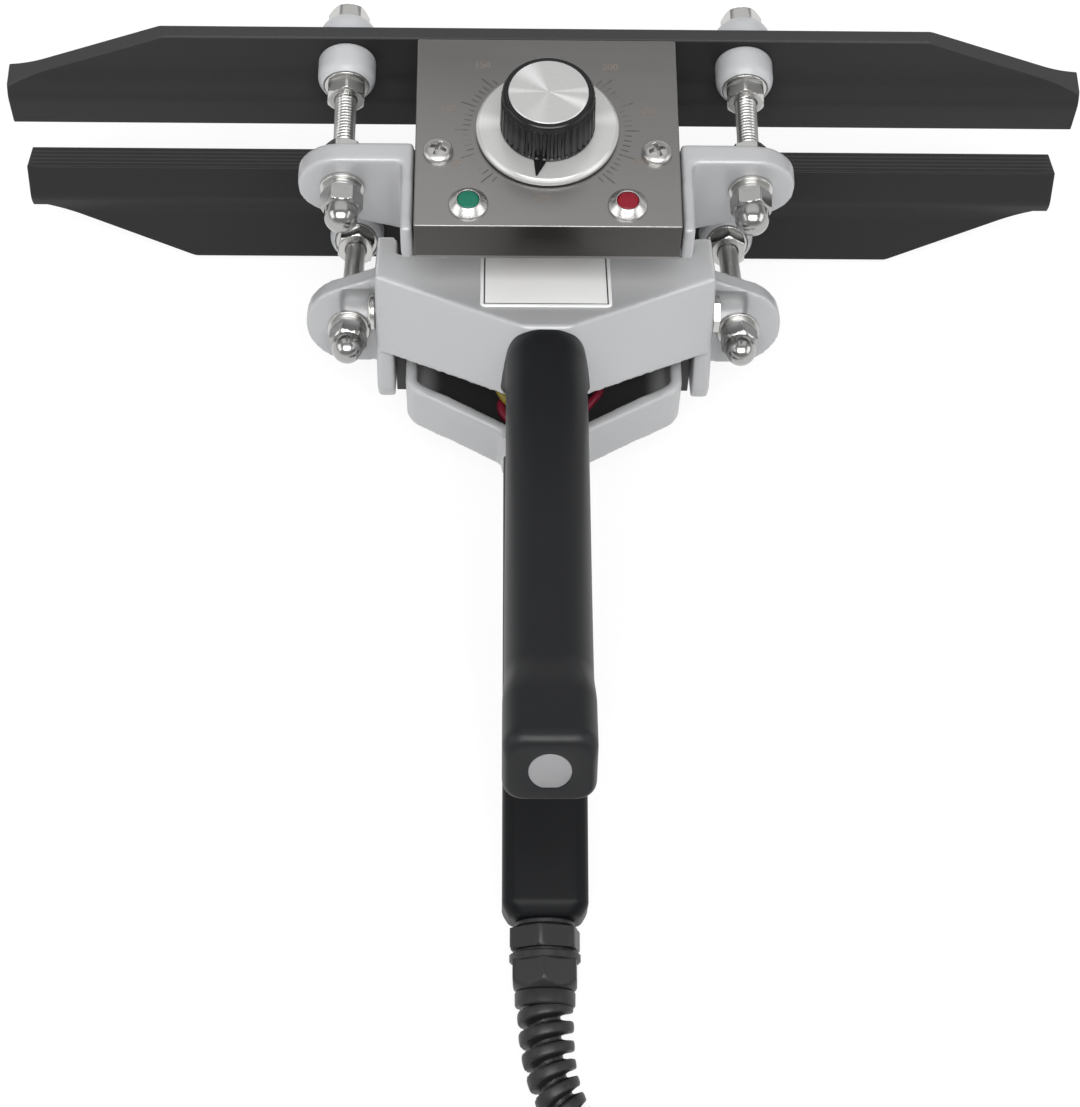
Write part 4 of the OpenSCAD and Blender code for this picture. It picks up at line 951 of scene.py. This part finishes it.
def boltHead(centre, y0, y1, turn=0.0):
    limit = hexagonRadius(bolt["flats"], turn)
    corner, edge = bolt["flats"] / 2 / cos(pi / 6), bolt["flats"] / 2 - 0.2
    rise = np.linspace(1, 0, 5)
    crown = np.stack([y1 - 0.7 * rise, edge + (corner - edge) * rise], -1)
    profile = np.concatenate([[[y0, 0], [y0, corner]], crown,
                              [[y1, edge - 0.8], [y1, 3.4], [y1 - 0.2, 3.1], [y1 - 0.2, 0]]])
    return ringsAlongY(profile, centre, 96, limit)


def makeBolts(side):
    ear = bolt[side]["ear"]
    behind = ear - 1.2 - 1.5
    body = fixedBody if side == "upper" else movingBody

    def add(name, rings, finish, slot, sharp=32):
        addPiece(side + "_" + name, onBolts(side, rings), finishes[finish], body, slot,
                 (side + "_" + name.replace("set_", ""),), sharp)

    front = 61.8 + bolt[side]["front"]
    rods = onBolts(side, lambda c: [threadedRod(c, ear - 9.9, front)])
    turned = bolt[side]["turned"]
    heads = onBolts(side, lambda c: [boltHead(c, front, front + bolt["head"], turned[0] * np.sign(c[0]))])
    addPiece(side + "_rods", rods, finishes["zinc"], body, "zinc_steel", (side + "_jaw_bolts",), 50,
             ringed=False)
    addPiece(side + "_heads", heads, finishes["bright"], body, "zinc_steel", (side + "_jaw_bolts",), 32)
    more = bolt["longer"][side]
    add("set_collars", lambda c: [collarRings(c, 57.6, 51.4 - more, 1.2), collarRings(c, 61.8, front, 0)],
        "collar",
        "collar_nylon", 60)
    add("set_hex_nuts", lambda c: [hexNut(c, 45.4 - more, 50.2 - more, turned[1] + 5 * np.sign(c[0])),
                                   hexNut(c, ear + 7.6, ear + 12.4, turned[2] * np.sign(c[0]))], "bright",
        "polished_steel")
    add("set_washers", lambda c: [washerRings(c, 50.2 - more, 51.4 - more, bolt["washer"]),
                                  washerRings(c, ear + 6.4, ear + 7.6, bolt["washer"]),
                                  washerRings(c, ear - 1.2, ear,
                                              bolt["washer"])], "bright", "polished_steel", 40)
    addPiece(side + "_spring_washers", onBolts(side, lambda c: [splitWasher(c, behind, ear - 1.2)]),
             finishes["zinc"],
             body, "zinc_steel", (side + "_lock_washers",), 40, ringed=False)
    add("set_acorn_nuts", lambda c: [acornNut(c, behind, turned[3] * np.sign(c[0]) + 4,
                                              bolt["slim"][side])], "polished",
        "polished_steel")


makeBolts("upper")
makeBolts("lower")
print("bolts and nuts are on")


def turnedUp(profile, centre, columns=64):
    # Each profile point (height, r) is a circle round an axis that stands on the box's face
    rings = ringsAlongY(profile, (0, 0), columns)
    x, h, y = rings[..., 0], rings[..., 1], rings[..., 2]
    return place(np.stack([centre[0] + x, centre[1] + y, box["face"] + h], -1))


def boxOutline(inset, up, columns=6):
    # The cover's rectangle with small quarter-circle corners, at a height
    corners = []
    u = np.linspace(0, pi / 2, columns)
    r = max(box["corner"] - inset, 0.1)
    x, y0, y1 = box["width"] / 2 - inset - r, box["front"] + inset + r, box["back"] - inset - r
    for k, (cx, cy) in enumerate(((x, y1), (-x, y1), (-x, y0), (x, y0))):
        corners.append(np.stack([cx + r * np.cos(u + k * pi / 2), cy + r * np.sin(u + k * pi / 2)], -1))
    flat = np.concatenate(corners)
    return np.concatenate([flat, np.full((len(flat), 1), float(up))], -1)


def makeCover():
    # A folded steel cover, open below: ceiling, inner wall, outer wall, a small fold radius and the face
    sheet, fold = box["sheet"], box["fold"]
    u = np.linspace(0, pi / 2, 5)
    rows = [(sheet, box["face"] - sheet), (sheet, box["low"]), (0, box["low"])]
    rows += [(fold * (1 - c), box["face"] - fold + fold * s) for c, s in zip(np.cos(u), np.sin(u))]
    grid = np.stack([boxOutline(inset, up) for inset, up in rows])
    addPiece("box_shell", [place(grid)], finishes["cover"], fixedBody, "cover_steel", ("box_cover",), 35,
             ringed=False)


def makeScrews():
    # A pan head: height = rim + dome * sqrt(1 - (r / radius)^2), with a cross sunk into it, and a plain shank
    radius = np.concatenate([np.linspace(0.02, 3.2, 26), 4.0 * np.sin(np.linspace(0.94, pi / 2, 9)),
                             [4.0, 3.7]])
    a = np.arange(96) * 2 * pi / 96
    heads = []
    for side in (-1, 1):
        r, angle = radius[:, None], a[None]
        x, y = r * np.cos(angle + 0 * r), r * np.sin(angle + 0 * r)
        up = screw["rim"] + screw["dome"] * np.sqrt(np.clip(1 - (r / 4.0) ** 2, 0, 1)) + 0 * angle
        up[-2:] = 0.0
        t = radians(screw["turn"] * side)
        across, along = np.abs(x * cos(t) + y * sin(t)), np.abs(y * cos(t) - x * sin(t))
        arm = np.minimum(np.maximum(across / screw["slot"], along / screw["reach"]),
                         np.maximum(along / screw["slot"], across / screw["reach"]))
        up -= screw["deep"] * (1 - ease(arm, 0.75, 1.15))
        heads.append(place(np.stack([x + side * box["screwGap"] / 2, y + box["screwY"], up + box["face"]],
                                    -1)))
    addPiece("cover_screws", heads, finishes["screw"], fixedBody, "polished_steel", ("box_screws",), 40,
             ringed=False)


def makeBox():
    makeCover()
    makeScrews()
    for node, finish in (("box_tray", "coverInside"), ("thermostat", "cream"), ("thermostat_nut", "zinc"),
                         ("terminal_block", "cream"), ("lamp_bodies", "cream")):
        dress(node, finishes[finish])
    lamps = [(s * box["lampGap"] / 2, box["lampY"]) for s in (-1, 1)]
    cone = eased([[-7, 2.95], [-7, 4], [0, 4], [0, 5.2], [0.55, 5.2], [2.35, 3.2], [2.35, 2.95]],
                 [0, 0, 0, 0.05, 0.25, 0.2, 0.1])
    addPiece("bezels", [turnedUp(cone, c) for c in lamps], finishes["bezel"], fixedBody, "polished_steel",
             ("lamp_bezels",), 35)
    for c, tint in zip(lamps, ("green", "red")):
        dome = [[-4, 0], [-4, 2.88], [2.0, 2.88], [2.3, 2.7], [2.42, 2.2], [2.5, 1.2], [2.52, 0]]
        addPiece(tint + "_jewel", [turnedUp(dome, c, 48)], finishes[tint], fixedBody, "lens_" + tint,
                 (tint + "_lens",), 50)


def makeDialNumbers():
    # Faint printed numbers round the dial, each a flat mesh just above the face
    prints = {"50": (205, 26.6), "100": (165, 27.2), "150": (128, 28.2), "200": (52, 27.6), "250": (14, 27.4),
              "300": (-22, 27.0), "OFF": (-93, 22.8)}
    points, faces, first = [], [], 0
    for word, (angle, radius) in prints.items():
        curve = bpy.data.curves.new("dial" + word, "FONT")
        curve.body = word
        curve.size = dial["letter"]
        curve.align_x, curve.align_y = "CENTER", "CENTER"
        text = bpy.data.objects.new("dial" + word, curve)
        bpy.context.scene.collection.objects.link(text)
        flat = bpy.data.meshes.new_from_object(text)
        bpy.data.objects.remove(text)
        spots = meshPoints(flat)
        spots[:, 0] += radius * cos(radians(angle))
        spots[:, 1] += radius * sin(radians(angle)) + box["knobY"]
        spots[:, 2] += box["face"] + 0.02
        points.append(spots)
        faces.extend([[first + v for v in poly.vertices] for poly in flat.polygons])
        first += len(spots)
    mesh = bpy.data.meshes.new("dial_numbers")
    mesh.from_pydata(place(np.concatenate(points)).tolist(), [], faces)
    settle("dial_numbers", mesh, finishes["print"], fixedBody)


makeBox()
makeDialNumbers()
print("the control box is made")


knob = {"flutes": 40, "groove": 0.45, "pointer": -10.0}


def makeKnob():
    centre = (0, box["knobY"])
    skirt = eased([[.6, 9], [.6, 19], [1.5, 19], [2.4, 18.1], [2.4, 9]], [0, .15, .25, .12, 0])
    addPiece("knob_skirt_disc", [turnedUp(skirt, centre, 128)], finishes["skirtSpun"], knobBody, "knob_metal",
             ("knob_skirt",), 25)
    # The flutes: each lowers the radius by groove * sqrt(g (2 - g)), where g is 1 in its middle and 0 at
    # its edges
    columns = knob["flutes"] * 12
    a = np.arange(columns) * 2 * pi / columns
    groove = np.clip(1 - np.abs(np.mod(a * knob["flutes"] / 2 / pi, 1) - 0.5) * 2 * 1.75, 0, 1)
    groove = knob["groove"] * np.sqrt(np.clip(groove * (2 - groove), 0, 1))
    profile = eased([[2.4, 9.2], [2.4, 12.6], [3.1, 12.58], [3.35, 12.57], [13.3, 12.35], [13.5, 12.1],
                     [15.1, 12.1],
                     [15.6, 11.5], [15.6, 10.6], [14.9, 10.55], [14.9, 3.2], [2.4, 3.2]],
                    [0, .3, 0, 0, .1, .1, .3, .25, .1, 0, 0, 0])
    depth = np.where((profile[:, 1] > 11) & (profile[:, 0] > 3.2) & (profile[:, 0] < 13.42), 1.0, 0.0)
    rings = ringsAlongY(profile, (0, 0), columns)
    radius = np.hypot(rings[..., 0], rings[..., 2])
    shrink = (radius - depth[:, None] * groove[None]) / radius
    x, h, y = rings[..., 0] * shrink, rings[..., 1], rings[..., 2] * shrink
    body = place(np.stack([centre[0] + x, centre[1] + y, box["face"] + h], -1))
    addPiece("knob_body_fluted", [body], finishes["knobBlack"], knobBody, "knob_black", ("knob",), 28)
    disc = [[14.9, 0], [14.9, 10.5], [15.55, 10.5], [15.75, 10.3], [15.78, 0]]
    addPiece("knob_top_disc", [turnedUp(disc, centre, 128)], finishes["capSpun"], knobBody, "knob_metal",
             ("knob_cap",),
             30)
    # The pointer: a thin wedge on the skirt from the knob's foot towards its edge
    outline = np.array([[-1.7, -12.0], [1.9, -12.0], [0.2, -17.4], [-0.2, -17.4]])
    s, c = sin(radians(knob["pointer"])), cos(radians(knob["pointer"]))
    outline = outline @ np.array([[c, s], [-s, c]])
    level = np.array([2.38, 2.75])[:, None, None]
    wedge = np.concatenate([np.broadcast_to(outline, (2, 4, 2)), np.zeros((2, 4, 1)) + level], -1)
    wedge[:, :, 1] += box["knobY"]
    wedge[:, :, 2] += box["face"]
    addPiece("knob_pointer", [place(wedge)], finishes["knobBlack"], knobBody, "knob_black", ringed=False)
    dress("thermostat_shaft", finishes["zinc"])


makeKnob()
print("the knob is turned")


upper = {
    "y": -30.0, "z": 5.8, "slope": radians(3.5), "length": 152.5, "width": 21.4, "endWidth": 20.8,
    "high": 9.75, "block": 1.4, "blockStart": 124.0, "blockFull": 137.0, "hole": 4.9, "holeFlat": 4.55,
}


def upperPoint(points):
    # (sideways, up, along) across and along the upper handle, in millimetres, to metres
    side, up, along = points[..., 0], points[..., 1], points[..., 2]
    s, c = sin(upper["slope"]), cos(upper["slope"])
    return place(np.stack([side, upper["y"] - along * c - up * s, upper["z"] - along * s + up * c], -1),
                 movingArm)


def lowerGripPoint(points):
    return lowerPoint(points[..., 2], points[..., 1], points[..., 0])


def ovalRings(along, width, high, low, topRound, lowRound, columns=96):
    # Across each station a rounded box: half width w/2, top and bottom heights, and quarter curves at its
    # corners. The corner curve is a superellipse quarter of power 2.3.
    given = (along, width, high, low, topRound, lowRound)
    along, width, high, low, topRound, lowRound = (np.asarray(v, float)[:, None] for v in given)
    u = np.linspace(0, 1, columns // 4, endpoint=True)[None] * pi / 2
    power = 2 / 2.3
    c, s = np.cos(u) ** power, np.sin(u) ** power
    w = width / 2
    right = [w - topRound + topRound * c, high - topRound + topRound * s]
    left = [-(w - topRound) - topRound * s, high - topRound + topRound * c]
    lowLeft = [-(w - lowRound) - lowRound * c, low + lowRound - lowRound * s]
    lowRight = [w - lowRound + lowRound * s, low + lowRound - lowRound * c]
    x = np.concatenate([q[0] for q in (right, left, lowLeft, lowRight)], 1)
    y = np.concatenate([q[1] for q in (right, left, lowLeft, lowRight)], 1)
    return np.stack([x, y, along + 0 * x], -1)


def makeUpperGrip():
    length = upper["length"]
    t = np.concatenate([np.linspace(1.0, 10, 19), np.linspace(11, 120, 26), np.linspace(121.5, 141, 27),
                        length - 8 + 8 * np.sin(np.linspace(0, pi / 2, 18))])
    t = np.unique(t)
    flare = (1 - ease(t, -1, 8.5)) ** 1.5
    block = ease(t, upper["blockStart"], upper["blockFull"])
    end = np.sqrt(np.clip(1 - np.clip((t - (length - 3.6)) / 3.6, 0, 1) ** 2, 0, 1))
    shrink = 2.6 * (1 - end)
    width = upper["width"] + (upper["endWidth"] - upper["width"]) * ease(t, 20, 150)
    width = width + 0.7 * block - 1.3 * shrink
    high = upper["high"] + upper["block"] * block - 1.15 * shrink
    low = -upper["high"] + 0.6 * shrink - 4.2 * (1 - ease(t, 0, 10))
    rings = ovalRings(t, width, high, low, 9.4 - 1.2 * ease(t, 6, 30) - 2.2 * block,
                      4.6 - 3.0 * (1 - ease(t, 0, 11)))
    # The handle leans a hair to the left. Its root spreads sideways, most at its lower edge, and follows
    # the slanted sides of the casting's tip
    x, up = rings[..., 0], rings[..., 1]
    x = x - 0.9 * ease(t, 0, 150)[:, None]
    lowness = np.clip((upper["high"] - up) / (2 * upper["high"]), 0, 1)
    rings[..., 0] = x * (1 + flare[:, None] * (-0.13 + 0.36 * lowness ** 1.6))
    rings[..., 2] -= (0.2 + 0.4 * lowness) * np.clip(np.abs(rings[..., 0]) - 6, 0,
                                                     None) * (1 - ease(t, 1.0, 14))[:, None]
    # The end: a round hole with a flat floor shows the casting's stem almost flush with it
    hole = rings[-1:].copy()
    a = (np.arange(hole.shape[1])[None] + 0.5) * 2 * pi / hole.shape[1]
    rim = np.minimum(upper["hole"], upper["holeFlat"] / np.clip(-np.sin(a), 0.3, 1))
    stops = []
    for radius, depth in ((0.35, 0.0), (0.08, 0.1), (0.0, 0.35), (0.0, 2.0)):
        ring = hole.copy()
        ring[..., 0] = (rim + radius) * np.cos(a) - 0.9
        ring[..., 1] = 0.3 + 1.14 * (rim + radius) * np.sin(a)
        ring[..., 2] = length - depth
        stops.append(ring)
    stops.append(stops[-1] * [0, 0, 1] + [-0.9, 0.3, 0])
    addPiece("upper_sleeve", [upperPoint(np.concatenate([rings, *stops]))], finishes["grip"], movingBody,
             "grip_black",
             ("upper_grip",), 50, ringed=False)
    stem = stops[1].copy()
    centre = np.array([-0.9, 0.3, 0])
    face = [centre + (stem - centre) * [share, share, 1] + [0, 0, lift]
            for share, lift in ((0.985, -0.9), (0.985, -0.08), (0.955, 0.08), (0.0, 0.12))]
    # The stem's face takes the darker, painted-shade copy of the casting grey
    addPiece("stem_end", [upperPoint(np.concatenate(face))], finishes["stem"], movingBody, "casting_paint",
             sharp=50,
             ringed=False)


def makeLowerGrip():
    length = lower["length"]
    t = np.concatenate([np.linspace(5.2, 8, 4), np.linspace(10, length - 6, 20),
                        length - 5 + 5 * np.sin(np.linspace(0.1, pi / 2, 14))])
    # The sides run straight and then cut in towards the gland like a chamfer with soft edges
    cut = ease(t, length - 4.2, length + 1.2) * 5.2
    end = 1 - np.sqrt(np.clip(1 - np.clip((t - (length - 1.0)) / 1.0, 0, 1) ** 2, 0, 1))
    shrink = cut * 0.42 + end * 0.8
    rings = ovalRings(t, 22.5 - 1.9 * shrink, 10 - shrink * 0.8, -10 + shrink * 0.8, 4.6 + 0 * t, 4.6 + 0 * t)
    # The lower handle takes the darker, painted-shade copy of the grip black
    addPiece("lower_sleeve", [lowerGripPoint(rings)], finishes["gripLowShaded"], fixedBody, "grip_black",
             ("lower_grip",), 50,
             ringed=False)


makeUpperGrip()
makeLowerGrip()
print("the handles are made")


gland = {"flats": 17.0, "twist": 40.0, "nutTwist": 33.0}


def turnedAlong(profile, limit=None, columns=96):
    # Each profile point (along, r) is a circle round the lower handle's axis
    rings = ringsAlongY(profile, (0, 0), columns, limit)
    return lowerPoint(rings[..., 1], rings[..., 2], rings[..., 0])


def makeGland():
    # Along the lead: a short neck, a hexagon, a groove, the nut's round flange, its hexagon with rounded
    # lower ends to the faces, and a collar
    z = lower["length"]
    corner = gland["flats"] / 2 / cos(pi / 6)
    body = np.array([[z - 12, 0], [z - 12, 5.9], [z, 5.9], [z, 7.4], [z + .3, 7.7], [z + 1.2, 7.7],
                     [z + 1.4, 7.3],
                     [z + 1.6, 7.3], [z + 1.6, 8.2], [z + 2.1,
                                                      corner], [z + 6.9, corner], [z + 7.5, corner - 0.6],
                     [z + 7.6, 7.6], [z + 7.7, 7.45], [z + 8.5, 7.45], [z + 8.5, 0]])
    addPiece("gland_base", [turnedAlong(body, hexagonRadius(gland["flats"], gland["twist"]))],
             finishes["black"],
             fixedBody, "black_plastic", ("gland_body", "gland_seal"), 28)
    start = z + 8.5
    nut = np.array([[start, 0], [start, 8.9], [start + .25, 9.3], [start + 1.8, 9.3], [start + 2.1, 9.0],
                    [start + 2.2, 8.0], [start + 2.3, 0]])
    s = np.linspace(0, 1, 6)
    dome = np.concatenate([[[start + 2.0, 0], [start + 2.0, corner - 0.3]],
                           np.stack([start + 6.6 + 3.0 * s, corner - 0.3 - (corner - 7.9) * s ** 1.5], -1),
                           [[start + 9.75, 7.3], [start + 9.9, 7.75], [start + 10.2, 7.9],
                            [start + 13.2, 7.85],
                            [start + 13.6, 7.6], [start + 13.8, 7.0], [start + 13.8, 0]]])
    addPiece("gland_cap", [turnedAlong(nut),
                           turnedAlong(dome, hexagonRadius(gland["flats"] - 0.5, gland["nutTwist"]))],
             finishes["black"], fixedBody, "black_plastic", ("gland_nut",), 28)


makeGland()
print("the gland is made")


wires = {
    "thick": 2.4,
    "left": [[-1.5, -27, -18.6], [-6, -25.5, -19], [-10.4, -23, -18.6], [-12.0, -18.8, -18.4],
             [-10.4, -14, -19.8],
             [-10, -5, -19.6], [-9, 4, -17]],
    "right": [[0, -27, -16], [5, -25, -17.6], [10.5, -21, -18.2], [14, -17, -18], [16, -12.5, -18.6],
              [14, -4, -19.6], [9, 4, -17]],
    "earth": [[1.5, -26, -20.6], [-5, -20.5, -21.5], [-10.4, -18.4, -16.4], [-12.6, -15, -15.4],
              [-13.6, -10, -17], [-13.4, -4, -19], [-13, 4, -17]],
    "rise": [[0.8, 10.4, -10], [0.7, 12.4, 0], [0.7, 12.6, 18], [0.7, 12.4, 32], [0.7, 12.4, 40.2]],
}


# The lock nut's size beside its solid, and how far the glide plates reach down (m) and out past their solid
# (m)
small = {"nut": 0.9, "below": 0.0185, "lower": 0.0016, "beyond": 0.0414, "wider": 0.00025}


def makeSmall():
    softened("label_plate", "blank_plate", finishes["plate"], 0.12, 30, 2)
    softened("pivot_bolt", "pivot_pin", finishes["bright"], 0.4, 30, 3)
    nut = softened("pivot_nut", "pivot_lock_nut", finishes["bright"], 0.25, 30, 2)
    # The smaller nut clears the moving arm's filled corners
    spots = meshPoints(nut.data)
    spots[:, 1:] = arms["pivot"][1:] + small["nut"] * (spots[:, 1:] - arms["pivot"][1:])
    nut.data.vertices.foreach_set("co", spots.ravel())
    plates = softened("guide_plates", "glide_plates", finishes["black"], 0.25, 30, 2)
    spots = meshPoints(plates.data)
    spots[spots[:, 2] < small["below"], 2] -= small["lower"]
    spots[:, 0] += np.sign(spots[:, 0]) * np.where(np.abs(spots[:, 0]) > small["beyond"], small["wider"], 0)
    plates.data.vertices.foreach_set("co", spots.ravel())
    spring = softened("return_spring", "spring_coil", finishes["spring"], 0.02, 60, 1)
    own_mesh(spring)
    for name, tint, ways in (("live_leads", "wireRed", ("left", "right")),
                             ("earth_lead", "wireYellow", ("earth",))):
        tubes = []
        for way in ways:
            points = smoothPath(wires[way] + [[wires[way][-1][0] * k, y, z] for k, y, z in wires["rise"]], 6)
            tubes.append(place(tube(points, wires["thick"] / 2, 16, (1.0, 0.1, 0.2))))
        addPiece(name, tubes, finishes[tint], fixedBody, "wire_red" if tint == "wireRed" else "wire_yellow",
                 ("live_wires",) if tint == "wireRed" else ("earth_wire",), 60, ringed=False)


makeSmall()
print("small pieces are made")
